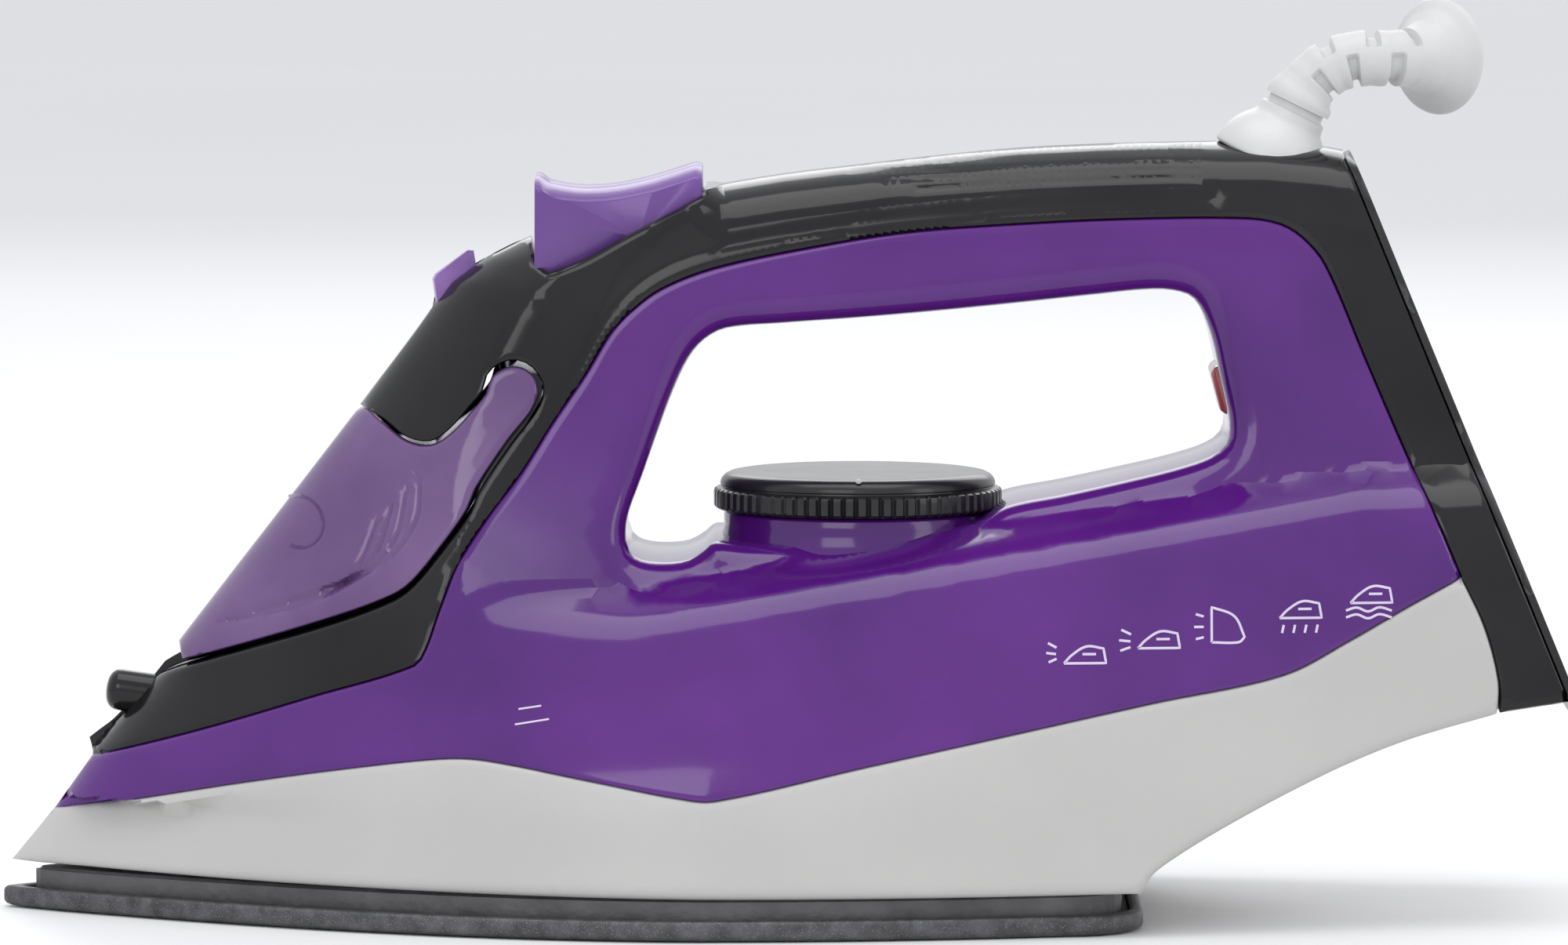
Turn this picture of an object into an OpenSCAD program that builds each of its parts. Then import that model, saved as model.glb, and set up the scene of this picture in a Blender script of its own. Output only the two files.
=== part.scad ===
// Steam iron, millimetres. Nose towards -X, +Z up, origin at the centre of the
// soleplate's working face. Every outer shell is cut from one body form, so the
// shells meet flush along their parting lines.

/* [Body] */
// Half width of the body just above the soleplate
body_w = 56; // [52:0.5:57]
// Half width of the handle
grip_w = 16.3; // [14:0.1:18]
// Wall thickness of the moulded shells
wall = 2; // [1.6:0.1:2.4]

/* [Soleplate] */
// Half width of the soleplate
sole_w = 57.3; // [55:0.1:60]
// Height of the soleplate's pressed rim
rim_h = 3.6; // [3:0.1:4.5]
// Radius of the steam holes
steam_hole_r = 1.6; // [1:0.1:2]

/* [Thermostat dial] */
// Radius of the knurled ring
dial_r = 25.7; // [22:0.1:26]
// Number of knurls around the ring
knurls = 72; // [36:4:90]
// Radius of the thermostat shaft
shaft_r = 3; // [2:0.1:3.5]

/* [Buttons and pumps] */
// Travel of the spray and steam buttons
press = 4; // [2:0.5:4]
// Gap between the two buttons
button_gap = 0.8; // [0.6:0.1:1.6]
// Radius of each pump's plunger
plunger_r = 3.2; // [2.5:0.1:3.6]

/* [Steam control] */
// Radius of the needle valve's rod
rod_r = 1.6; // [1.2:0.1:2]
// Half angle of the steam lever's slot
lever_swing = 22; // [12:1:24]

/* [Cord] */
// Radius of the cord's passage through the guard
cord_r = 3.6; // [3:0.1:4]
// Outer radius of the flexible guard
guard_r = 6.1; // [5.6:0.1:6.6]

/* [Hidden] */
$fn = 48;

black = [0.08, 0.08, 0.09];
violet = [0.42, 0.2, 0.6];
white = [0.92, 0.92, 0.9];
steel = [0.62, 0.63, 0.65];

// ---- body form -------------------------------------------------------------
// plan taper of the front, 0 at the nose and 1 at the widest place
function taper(a) = a <= 0 ? 0 : a >= 1 ? 1 : 1 - pow(1 - a, 1.8);
function lerp(a, b, t) = a + (b - a) * t;
// linear look-up in a table of [key, value]
function look(t, k, i = 0) = k <= t[0][0] ? t[0][1] : i >= len(t) - 1 ? t[len(t) - 1][1] :
  k <= t[i + 1][0] ? lerp(t[i][1], t[i + 1][1], (k - t[i][0]) / (t[i + 1][0] - t[i][0])) : look(t, k, i + 1);

// front of the body in side view, [height, x]
NOSE = [[0, -106], [8, -100], [17.5, -92.3], [28.5, -85.2], [41.5, -74], [48, -69.7], [90, -37.3],
  [108, -24.4], [112, -21], [116, -15], [120, -7], [126, 6], [140, 20]];
// half width of the handle and its columns, [height, half width]
FRAME = [[36, 31.5], [47, 31], [55, 28.6], [63, 26], [71, 23.4], [79, 21.2], [88, 19.4], [96, 18.2],
  [104, 17.3], [112, grip_w + 0.3], [123, grip_w], [129, grip_w - 1.6], [132.5, grip_w - 4.6], [134.6, grip_w - 8.6], [136, 3]];

// half width of the lower body at x, for a level whose front is xf and width w
function low_w(x, xf, w, d) = x < 30 ? w * taper((x - xf) / (30 - xf)) :
  lerp(w, min(29 - d, 0.66 * w), pow((x - 30) / 156, 1.6));
function up_w(x, xf, w, d) = min(w, sqrt(max(0, 17 * (x - xf))) ) ;

// a ring of points at one level: [z, shear, half width, nose x]
N = 26;
XR = 186;
function st(i) = pow(i / (N - 1), 1.7);
function ring(l, d, up) = let (xf = l[3] + d * 1.25, w = l[2] - d)
  concat(
    [for (i = [0:N - 1]) let (x = lerp(xf, XR, st(i)), h = up ? up_w(x, xf, w, d) : low_w(x, xf, w, d)) [x, -max(h, i == 0 ? 0 : 0.2), l[0] + l[1] * shear(x, up)]],
    [for (i = [N - 1:-1:1]) let (x = lerp(xf, XR, st(i)), h = up ? up_w(x, xf, w, d) : low_w(x, xf, w, d)) [x, max(h, 0.2), l[0] + l[1] * shear(x, up)]]);
function shear(x, up) = up ? x - 31 : max(-20, min(x - 31, 110));
module stack(levels, d, up) {
  m = 2 * N - 1;
  // each pair of neighbouring levels is one convex slice
  for (j = [0:len(levels) - 2])
    hull() polyhedron(concat(ring(levels[j], d, up), ring(levels[j + 1], d, up)),
      concat([[for (i = [0:m - 1]) i]], [[for (i = [m - 1:-1:0]) m + i]],
        [for (i = [0:m - 1]) [i, m + i, m + (i + 1) % m, (i + 1) % m]]));
}
function nose_at(z) = look(NOSE, z);
LOW = [for (v = [[5, 0, body_w + 0.6], [13, 0, body_w - 0.6], [24, 0, body_w - 2.5], [40, 0.06, body_w - 9],
    [57, 0.15, body_w - 15.5], [60.4, 0.16, body_w - 23], [62.6, 0.16, body_w - 34], [64, 0.16, 6]])
  [v[0], v[1], v[2], nose_at(v[0]) + (v[0] > 60 ? 3 * (v[0] - 60) : 0)]];
UPPER = [for (i = [0:14]) let (z = FRAME[i][0], s = z > 118 ? 0.03 : 0) [z, s, FRAME[i][1], nose_at(z)]];
module form(d = 0) {
  union() {
    stack(LOW, d, false);
    stack(UPPER, d, true);
  }
}

// an outline in side view, swept across the body
module side(pts, half = 70) { rotate([90, 0, 0]) linear_extrude(height = 2 * half, center = true) polygon(pts); }
module across(x, z, r, half) { translate([x, 0, z]) rotate([90, 0, 0]) cylinder(r = r, h = 2 * half, center = true); }

// ---- outlines in side view -------------------------------------------------
SKIRT_TOP = [[-96, 17.6], [-92, 17.8], [-76, 20.8], [-59, 24.2], [-40, 27.6], [-22, 30.4], [-14, 30.4], [5, 27.4], [20, 24.6], [26, 24.2],
  [52, 29.8], [79, 35.4], [103, 40.4], [126, 45], [138, 51], [148, 56.6], [157.5, 61.6]];
SKIRT_END = [[161.5, 53], [164, 43.4], [163.8, 37.6]];
SKIRT_LOW = [[148.7, 33.5], [137.6, 29.4], [126.5, 24.3], [115.3, 18.5], [107.1, 13.7], [102.6, 10.4], [101, 7.4],
  [60, 7.2], [20, 7.2], [-20, 7.4], [-60, 7.7], [-100.2, 8.3]];
BAND_LOW = [[-85.2, 27.4], [-65, 33.3], [-45, 39.8], [-27, 45.8], [-25, 48.6], [-22.7, 55], [-19.5, 63], [-14.4, 71], [-8.2, 79.2],
  [-2.7, 87.9], [3.1, 96.4], [7.5, 103.6], [11.2, 107.6], [16.5, 111.5], [26, 115.2], [44, 119], [60, 121.5],
  [80, 123], [100, 123.9], [120, 124], [126, 123], [130, 120.6], [134, 115.8], [141.5, 98.3], [148.3, 82.5], [152.4, 73.6], [157.5, 61.6]];
TOP = [[137.7, 135.4], [134.6, 135.9], [124, 136.8], [108, 136.8], [94, 136.4], [80, 135.7], [66, 134.4], [52, 132.8], [38, 131.1], [25.4, 129.4]];
GAP = [[10.3, 67.4], [10.6, 71.5], [13, 78.1], [15.8, 86], [18.6, 93.4], [21.4, 99.2], [24.2, 102.4], [28, 104.3], [38, 105.2],
  [52, 106.2], [66, 107.4], [80, 108.8], [94, 110.3], [102, 111.1], [107, 111], [110.9, 109.5], [113.7, 103.8], [115.5, 96],
  [117.1, 88], [116.6, 84], [113.8, 81.8], [108, 79.8], [99.8, 77.8], [88, 75.2], [77.6, 73.1], [77.6, 71], [26, 71],
  [26, 67.6], [24.2, 65.6], [21.4, 63.9], [17, 63.4], [13, 63.9], [11, 65.3]];
// spine: the flat face that the iron stands on when it is put on its heel
SPINE = [[139, 135.2], [178, 40.2]];
spine_dir = [39, -95] / norm([39, -95]);
spine_out = [-spine_dir[1], spine_dir[0]];
function spine(t, inset) = SPINE[0] + t * (SPINE[1] - SPINE[0]) - inset * spine_out;

// pivot of the filler door
DP = [-10.1, 93.4];

// ---- soleplate and heater ---------------------------------------------------
function sole_half(x, d) = let (a = (x + 101.4 - 1.6 * d) / 126)
  x < 25 ? sqrt(pow((sole_w - d) * taper(a), 2) + 2.4 * max(0, min(12, x + 101.4 - 1.6 * d))) : (sole_w - d) * (1 - 0.21 * pow((x - 25) / 75, 2));
function sole_pts(d) = let (
    near = [for (i = [1:22]) let (x = -101.4 + d * 1.6 + pow(i / 22, 1.6) * (126 - d * 1.6)) [x, -sole_half(x, d)]],
    aft = [for (x = [40, 55, 70, 80, 88 - 0.4 * d]) [x, -sole_half(x, d)]],
    corner = [for (a = [15:15:75]) [88 - 0.4 * d + (13.5 - 0.6 * d) * sin(a), -(sole_half(88, d) - 13.5 * (1 - cos(a)))]],
    half = concat(near, aft, corner, [[101.6 - d, -(sole_w - d) * 0.45]]),
    n = len(half))
  concat([[-101.4 + d * 1.6, 0]], half, [for (i = [n - 1:-1:0]) [half[i][0], -half[i][1]]]);

module soleplate() {
  color(steel) difference() {
    linear_extrude(height = rim_h) polygon(sole_pts(0));
    translate([0, 0, 1.2]) linear_extrude(height = rim_h) polygon(sole_pts(2.2));
    // steam holes in two curved rows, a nose group and a heel group
    for (m = [-1, 1]) for (i = [0:8]) translate([-62 + 13 * i, m * (9 + 24 * taper(i / 9)), -1]) cylinder(r = steam_hole_r, h = 4);
    for (x = [-78, -70, -50, -38]) translate([x, 0, -1]) cylinder(r = steam_hole_r, h = 4);
    for (m = [-1, 1]) for (i = [0:3]) translate([48 + 9 * i, m * (32 - 4 * i), -1]) cylinder(r = steam_hole_r, h = 4);
  }
}

// centre line of the U-shaped element, at x back from its bend
ELEM_Z = 13.4;
module element_path(r) {
  translate([-34, 0, ELEM_Z]) rotate([0, 0, 90]) rotate_extrude(angle = 180) translate([20, 0]) circle(r = r, $fn = 32);
  for (m = [-1, 1]) translate([-34, m * 20, ELEM_Z]) rotate([0, 90, 0]) cylinder(r = r, h = 116, $fn = 32);
}
module heating_element() { color("silver") element_path(3.2); }
module heater_casting() {
  color([0.5, 0.5, 0.52]) difference() {
    union() {
      translate([0, 0, 1.2]) linear_extrude(height = 5.4) polygon(sole_pts(3.6));
      translate([0, 0, 6.6]) linear_extrude(height = 5.4) polygon(sole_pts(9));
      translate([0, 0, 12]) linear_extrude(height = 4) polygon([[-58, -14], [-58, 14], [-30, 27], [0, 33], [76, 33], [76, -33], [0, -33], [-30, -27]]);
    }
    // steam chamber, open at the top
    translate([-20, -13, 7]) cube([58, 26, 20]);
    element_path(3.25);
    for (p = BODY_SCREWS) translate([p[0], p[1], 7.1]) cylinder(r = 1.75, h = 20);
  }
}
BODY_SCREWS = [[-72, 0], [88, -26], [88, 26]];
module steam_chamber_lid() {
  color("silver") difference() {
    translate([-25, -16.5, 16.05]) cube([68, 16.5 * 2, 1.2]);
    translate([VB[0] + 0.4, 0, 10]) cylinder(r = 3.1, h = 20);
  }
}
module thermostat() {
  color("tan") translate([51.4, 0, 0]) {
    difference() {
      union() {
        translate([-6, -8, 17.3]) cube([15, 16, 3]);
        translate([0, 0, 20.3]) cylinder(r = 7.2, h = 6.4);
      }
      translate([0, 0, 22.5]) cylinder(r = shaft_r + 0.05, h = 10);
    }
  }
}
module thermal_fuse() { color("ivory") translate([62, -14, 17.9]) rotate([0, 90, 0]) cylinder(r = 1.8, h = 20); }

// ---- skirt ---------------------------------------------------------------------
module skirt_region(e = 0) { side(concat(SKIRT_TOP, SKIRT_END, SKIRT_LOW)); }
module heat_shield_skirt() {
  color(white) difference() {
    intersection() {
      form();
      skirt_region();
    }
    // room for the heater
    intersection() {
      form(wall + 0.4);
      side([[-110, 0], [-80, 19], [-59, 22.2], [-22, 28.4], [-14, 28.4], [5, 25.4], [20, 22.6], [26, 22.2],
        [52, 27.8], [79, 33.4], [103, 38.4], [126, 43], [138, 49], [148, 54.4], [154, 57.5], [158.6, 52.5], [161.2, 43.2], [161, 39.8],
        [148, 35.7], [136.6, 31.5], [125.5, 26.4], [114.3, 20.6], [106, 15.8], [100.2, 12.4], [98.4, 9.4], [98.4, 0]]);
    }
    // passages through the roof of the skirt
    translate([51.4, 0, 15]) cylinder(r = 8.2, h = 30);
    translate([VB[0], 0, 15]) cylinder(r = 5.2, h = 30);
    for (p = BODY_SCREWS) translate([p[0], p[1], 8]) cylinder(r = 1.9, h = 40);
  }
}

// ---- tank ------------------------------------------------------------------------
TANK_LOW = [for (p = SKIRT_TOP) [p[0], p[1] + 0.05]];
module tank_region() { side(concat(TANK_LOW, [for (i = [len(BAND_LOW) - 2:-1:1]) BAND_LOW[i]], [[-85.2, 27.4]])); }
VT = [-12.2, 106.5];     // needle valve's axis, top
VB = [-2, 30];           // and foot, in side view
valve_tilt = atan((VB[0] - VT[0]) / (VT[1] - VB[1]));
module valve_axis() { translate([VB[0], 0, VB[1]]) rotate([0, -valve_tilt, 0]) children(); }
module water_tank() {
  color(violet) difference() {
    union() {
      difference() {
        intersection() { form(); tank_region(); }
        side(GAP);
        intersection() {
          form(wall);
          difference() {
            side([[-84, 23.5], [-59, 26.2], [-40, 29.6], [-22, 32.4], [-14, 32.4], [5, 29.4], [20, 26.6], [26, 26.2],
              [52, 31.8], [79, 37.4], [103, 42.4], [126, 47], [138, 53], [148, 58.6], [154, 62.6], [150.4, 73], [146, 82], [139.4, 97.5], [132, 114.6], [128.6, 119],
              [125, 121], [120, 122], [100, 121.9], [80, 121], [60, 119.5], [44, 117], [26, 113.2], [17.6, 109.7], [12.8, 106.2], [9.2, 102.4],
              [4.8, 95.4], [-1, 86.9], [-6.6, 78.1], [-12.6, 70], [-17.6, 62.2], [-20.8, 54.2], [-23.2, 48], [-28, 43.4], [-45, 37.6], [-65, 31.1], [-80, 26.8]]);
            side([for (p = GAP) p + [p[0] < 50 ? -2 : 2, p[1] > 90 ? 2 : -2]]);
            // floor that keeps the water away from the lamp
            translate([112, -60, 83]) cube([60, 120, 2]);
            // the handle's lower half is solid where it is thin
            side([[2, 97], [20, 98], [30, 106], [60, 108], [100, 111], [113, 109], [118, 100], [130, 100], [126, 130], [30, 130]]);
          }
        }
      }
      // boss that carries the dial, and the tube that its shaft runs down
      translate([51.4, 0, 58]) cylinder(r = 23.4, h = 12.9);
      translate([51.4, 0, 30]) cylinder(r = 7.2, h = 36);
      valve_axis() translate([0, 0, -1]) cylinder(r = 5, h = 10);
    }
    translate([51.4, 0, 25]) cylinder(r = 4.6, h = 60);
    difference() {
      translate([51.4, 0, 63]) cylinder(r = 20.8, h = 19);
      translate([51.4, 0, 59]) cylinder(r = 7.2, h = 11.4);
    }
    valve_axis() translate([0, 0, -8]) cylinder(r = rod_r + 0.6, h = 110);
    // filler mouth under the door
    filler_hole(5.4);
    pump_bores();
    lens_block(0.05);
    // the gem of the dial's pointer
    translate([84.8, 0, 0]) gem(0.03);
    // lamp pocket
    translate([120, 0, 93.6]) rotate([0, -14.5, 0]) cube([9, 9, 6], center = true);
    // screw and wiring passages at the heel
    translate([120, -8, 100]) cube([14, 16, 26]);
  }
}
module tank_boss_seal() {
  color("dimgray") translate([51.4, 0, 0]) difference() {
    translate([0, 0, 30.05]) cylinder(r = 4.5, h = 4);
    translate([0, 0, 20]) cylinder(r = shaft_r + 0.06, h = 30);
  }
}

// ---- filler -----------------------------------------------------------------------
FH = [-48, 60.5];
module filler_axis() { translate([FH[0], 0, FH[1]]) rotate([0, -52, 0]) children(); }
module filler_hole(r) { filler_axis() translate([0, 0, -34]) cylinder(r = r, h = 60); }
module filler_seal() {
  color("dimgray") filler_axis() translate([0, 0, -19]) difference() { cylinder(r = 7.2, h = 21.6); translate([0, 0, -1]) cylinder(r = 5.4, h = 25); }
}
DOOR = [[-77, 52], [-42, 95.5], [-33, 87.2], [-28.6, 84.3], [-24.3, 83.8], [-20.7, 86], [-16.8, 90.2], [-14.6, 92.6]];
DOOR_BACK = [[-5.4, 91.8], [-6.6, 90], [-10.7, 84.9], [-16.4, 76.4], [-17.8, 73], [-22, 67], [-27.6, 60.2], [-31.3, 57.6], [-42.8, 53.2], [-66.4, 45.6], [-74.5, 43.4]];
module door_region(e) {
  side([for (p = concat(DOOR, DOOR_BACK)) p]);
  across(DP[0], DP[1], 5, 70);
}
BRIM = [[-79, 44], [-66, 48.2], [-42.6, 56.2], [-42.9, 54.2], [-66.2, 46.3], [-79, 42.2]];
module filler_door() {
  color([0.5, 0.3, 0.68]) difference() {
    union() {
      intersection() {
        difference() { form(); form(1.9); }
        door_region();
      }
      // finger brim
      difference() {
        intersection() {
          side(BRIM, 12);
          translate([-55.4, 0, 40]) cylinder(r = 22.4, h = 40);
        }
        form(1.9);
      }
      // hinge plates inside the wing tips
      for (m = [-1, 1]) intersection() {
        translate([DP[0], m * 16.4, DP[1]]) rotate([90, 0, 0]) cylinder(r = 4.6, h = 2.2, center = true);
        form(0.4);
      }
    }
    across(DP[0], DP[1], 1.55, 40);
  }
}
module door_pins() {
  color("silver") for (m = [-1, 1]) translate([DP[0], m * 14.9, DP[1]]) rotate([90, 0, 0]) cylinder(r = 1.48, h = 4.6, center = true);
}

// ---- top cover ----------------------------------------------------------------------
COVER_OUT = concat([[-85.3, 27.4]], [[-86.2, 30.2], [-84.2, 31.4], [-81.6, 33.4], [-73.9, 41.4], [-69.7, 48.2], [-37.3, 89.8], [-24.4, 108], [-24, 110.2],
  [-19.2, 113.7], [-11, 118.4], [-6.8, 120.1], [-6.2, 116], [-3.5, 114.6], [2.5, 117.6], [10.6, 121.6], [18.6, 125.6], [24.4, 128.4]],
  [for (i = [len(TOP) - 1:-1:0]) TOP[i]]);
function inner_spine(d) = [spine(0, d), spine(1, d)];
module cover_region() {
  side(concat(COVER_OUT, [spine(0, 1.4) + [0, 0], spine(1, 1.4), [164.2, 38], [164, 43.4], [161.5, 53]],
    [for (i = [len(BAND_LOW) - 1:-1:0]) BAND_LOW[i] + [0, 0.05]]));
}
module slot_shape(d) {
  valve_axis() rotate([0, 0, 180 - lever_swing - 18]) rotate_extrude(angle = 2 * lever_swing + 36, $fn = 64) translate([3.4 - d, 76]) square([9.2 + 2 * d, 20]);
}
module button_well() { translate([-6.4, -13.8, 96]) cube([31.1, 27.6, 60]); }
module top_cover() {
  color(black) difference() {
    intersection() { form(); cover_region(); }
    difference() {
      intersection() {
        form(wall);
        // the floor of the recess under the door stays
        union() { form(4.8); translate([-12, -70, 0]) cube([400, 140, 300]); side([[-100, 0], [0, 0], [0, 70], [-19, 60], [-25, 47], [-45, 41], [-64, 35], [-100, 30]]); }
        side([[-78, 32], [-71, 41.4], [-34.6, 88.8], [-21.6, 106.6], [-21, 108.6], [-17.6, 111], [-10, 115.6], [-4, 114], [-2, 113], [18.6, 122.6], [26, 127],
          [52, 130.4], [80, 133.4], [108, 134.4], [134.6, 133.4], [136.8, 132.6], [174.3, 40.3], [166.4, 38], [154, 60], [147, 74], [132, 112], [126, 119], [120, 121], [60, 118], [43, 116], [24, 111.4],
          [18, 108], [12, 104], [6, 94], [0, 85], [-12, 68], [-17, 60], [-23, 43], [-45, 36], [-65, 29.6], [-80, 25]]);
      }
      // ribs across the handle
      for (x = [34, 70, 104]) translate([x, -30, 100]) cube([1.6, 60, 40]);
    }
    // recess that the door lies in
    difference() {
      door_cut();
      form(2.6);
    }
    filler_hole(7.25);
    // room for the swinging wing tips
    intersection() {
      for (m = [-1, 1]) translate([DP[0], m * (14.8 + 10), DP[1]]) rotate([90, 0, 0]) cylinder(r = 14, h = 20, center = true);
      side([[-30, 70], [-17.3, 72.6], [-15.9, 76.1], [-10.2, 84.5], [-6.1, 89.7], [-4.5, 93], [-5.8, 98], [-13, 105], [-30, 106]]);
    }
    across(DP[0], DP[1], 1.5, 18);
    slot_shape(0.6);
    button_well();
    valve_axis() cylinder(r = 3, h = 79);
    // nozzle seat
    nozzle_axis() { translate([0, 0, -1]) cylinder(r = 2.3, h = 4); translate([0, 0, 1.9]) cylinder(r = 3.75, h = 14); }
    // socket of the cord's ball
    ball_centre() sphere(r = ball_r + 0.4, $fn = 64);
    ball_centre() translate([0, 0, 4]) cylinder(r = 9.9, h = 30);
    // spine cover's edge
    for (p = COVER_SCREWS) screw_at(p) cylinder(r = 1.25, h = 12, center = true);
  }
}
module door_cut() {
  side([for (p = concat([[-90, 52], [-60, 113], [-42.5, 100.1], [-34.2, 92], [-30.4, 88.5], [-26, 87.2], [-21.9, 88.8], [-17.3, 92], [-14.8, 93.6]],
    [[-4.9, 91.6], [-6.1, 89.7], [-10.2, 84.5], [-15.9, 76.1], [-17.3, 72.6], [-21.6, 66.6], [-27.3, 59.7], [-31.1, 57.1], [-42.6, 52.6], [-66.2, 45], [-80, 40.4], [-90, 40]])) p]);
  across(DP[0], DP[1], 5.5, 70);
}

// ---- heel ------------------------------------------------------------------------------
COVER_SCREWS = [0.14, 0.9];
module screw_at(t) { p = spine(t, 0); translate([p[0], 0, p[1]]) rotate([0, atan2(spine_out[0], spine_out[1]), 0]) children(); }
module handle_rear_cover() {
  color([0.1, 0.1, 0.11]) difference() {
    intersection() {
      union() { form(-0.02); }
      side([spine(0, 0), spine(1, 0), [176.4, 38], spine(1, 1.35), spine(0, 1.35)]);
    }
    for (p = COVER_SCREWS) screw_at(p) cylinder(r = 1.7, h = 12, center = true);
  }
}
module cover_screws() {
  color("silver") for (p = COVER_SCREWS) screw_at(p) { translate([0, 0, -9]) cylinder(r = 1.2, h = 8.4); }
}
module body_screws() {
  color("silver") for (p = BODY_SCREWS) translate([p[0], p[1], 7.2]) { cylinder(r = 1.7, h = 12); }
}

// ---- spray ---------------------------------------------------------------------------------
module nozzle_axis() { translate([-72.6, 0, 37.6]) rotate([0, -82, 0]) children(); }
module spray_nozzle() {
  color([0.05, 0.05, 0.05]) nozzle_axis() difference() {
    union() {
      translate([0, 0, 0]) cylinder(r = 2.25, h = 4);
      rotate_extrude() polygon(concat([[0, 2], [3.7, 2], [3.7, 8]], [for (a = [0:15:75]) [1.2 + 2.5 * cos(a), 8 + 2.3 * sin(a)]], [[0.9, 10.4], [0, 10.4]]));
    }
    translate([0, 0, -1]) cylinder(r = 0.5, h = 20);
  }
}
module spray_hose() {
  color("white") {
    translate([-66, 0, 36.2]) rotate([0, 72, 0]) difference() { cylinder(r = 1.8, h = 20); translate([0, 0, -1]) cylinder(r = 1, h = 40); }
  }
}
PUMP_X = [6, 6];
PUMP_Y = [-7, 7];
module pump(y) {
  color("whitesmoke") translate([6, y, 0]) difference() {
    translate([0, 0, 84]) cylinder(r = 5, h = 22);
    translate([0, 0, 87]) cylinder(r = plunger_r + 0.06, h = 30);
    translate([0, 0, 80]) cylinder(r = 1.2, h = 30);
  }
}
module pump_bores() { for (y = PUMP_Y) translate([6, y, 82]) cylinder(r = 5.6, h = 60); translate([-14, -5, 92]) cube([10, 10, 6]); }
module spray_pump() { pump(PUMP_Y[1]); }
module steam_pump() { pump(PUMP_Y[0]); }
module plunger(y) {
  color("white") translate([6, y, 0]) { translate([0, 0, 92]) cylinder(r = plunger_r, h = 14); translate([0, 0, 106]) cylinder(r = 1.8, h = 12); }
}
module spray_plunger() { plunger(PUMP_Y[1]); }
module steam_plunger() { plunger(PUMP_Y[0]); }
module pump_spring(y) {
  color("silver") translate([6, y, 106.05]) difference() { cylinder(r = 4.2, h = 11.9); translate([0, 0, -1]) cylinder(r = 3.5, h = 14); }
}
module spray_spring() { pump_spring(PUMP_Y[1]); }
module steam_spring() { pump_spring(PUMP_Y[0]); }

BUTTON = [[-6.1, 130.6], [-5.4, 131], [-4.2, 130.4], [-1.5, 129.2], [3, 128.6], [8, 128.9], [14, 130.2], [20, 132.1], [23, 133.1], [23.8, 132.8], [23.9, 126.4],
  [18.6, 123.4], [10.6, 119.4], [2.5, 115.4], [-3.5, 112.4], [-6.1, 112.4]];
module button(m) {
  color([0.45, 0.26, 0.64]) difference() {
    intersection() {
      side(BUTTON, 40);
      translate([-20, m > 0 ? button_gap / 2 : -13.4, 90]) cube([60, 13.4 - button_gap / 2, 60]);
      // crown: the top falls away to the outside
      translate([0, 0, 0]) rotate([90, 0, 90]) linear_extrude(height = 60, center = true)
        polygon([[0, 90], [m * 20, 90], [m * 20, 124], [m * 13.4, 131], [m * 9, 132.2], [0, 134]]);
    }
    // pocket that takes the top of the spring
    translate([6, m * 7, 100]) cylinder(r = 4.6, h = 18);
  }
}
module spray_button() { button(1); }
module steam_button() { button(-1); }

// ---- steam control -------------------------------------------------------------------------------
module steam_lever() {
  color([0.5, 0.3, 0.7]) difference() {
    valve_axis() difference() {
      union() {
        translate([0, 0, 74]) cylinder(r = 2.8, h = 7.2);
        rotate([0, 0, 180 - 16]) rotate_extrude(angle = 32, $fn = 64) polygon([[2.2, 77.4], [11.4, 77.4], [11.4, 84.6], [10.8, 85.4], [4.6, 88.8], [3.6, 88.6], [3.4, 81], [2.2, 81]]);
      }
      translate([0, 0, 73]) cylinder(r = rod_r + 0.05, h = 8);
    }
  }
}
module valve_rod() {
  color("silver") valve_axis() {
    translate([0, 0, 0.4]) cylinder(r = rod_r, h = 77);
    translate([0, 0, -5.6]) rotate_extrude() polygon([[0, 0], [0.5, 0], [1.2, 3], [rod_r, 6.1], [0, 6.1]]);
  }
}
module valve_seat() {
  color("brown") translate([VB[0] + 0.4, 0, 0]) difference() {
    union() { translate([0, 0, 17.3]) cylinder(r = 5, h = 7.6); translate([0, 0, 13]) cylinder(r = 3, h = 5); }
    translate([0, 0, 10]) cylinder(r = 2.3, h = 30);
  }
}

// ---- dial -------------------------------------------------------------------------------------------
module thermostat_dial() {
  color(black) translate([51.4, 0, 0]) difference() {
    union() {
      translate([0, 0, 71.4]) linear_extrude(height = 3.9) polygon([for (i = [0:knurls - 1]) for (k = [0:3])
        let (a = (i + [0, 0.12, 0.5, 0.62][k]) * 360 / knurls, r = dial_r - [0.55, 0, 0, 0.55][k]) [r * cos(a), r * sin(a)]]);
      rotate_extrude($fn = 96) polygon(concat([[0, 75.2], [dial_r - 1.4, 75.2]], [for (a = [0:15:90]) [21.4 + (dial_r - 22.8) * cos(a), 75.4 + 2.5 * sin(a)]], [[0, 78]]));
    }
    translate([0, 0, 65]) cylinder(r = shaft_r + 0.02, h = 10);
    translate([0, 0, 70]) difference() { cylinder(r = 21.5, h = 3.6); cylinder(r = 7, h = 4); }
  }
}
module dial_shaft() { color("silver") translate([51.4, 0, 24]) cylinder(r = shaft_r, h = 50.9); }
module gem(e) {
  translate([0, -15.6, 0]) rotate([-18, 0, 0]) translate([0, 0, 74]) linear_extrude(height = 3, center = true)
    polygon([for (p = [[-3.6, 0], [-2.2, -2.1], [2.2, -2.1], [3.6, 0], [2.2, 2.1], [-2.2, 2.1]]) p * (1 + e)]);
}
module dial_pointer() { color([0.6, 0.3, 0.75]) translate([84.8, 0, 0]) gem(0); }

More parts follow.
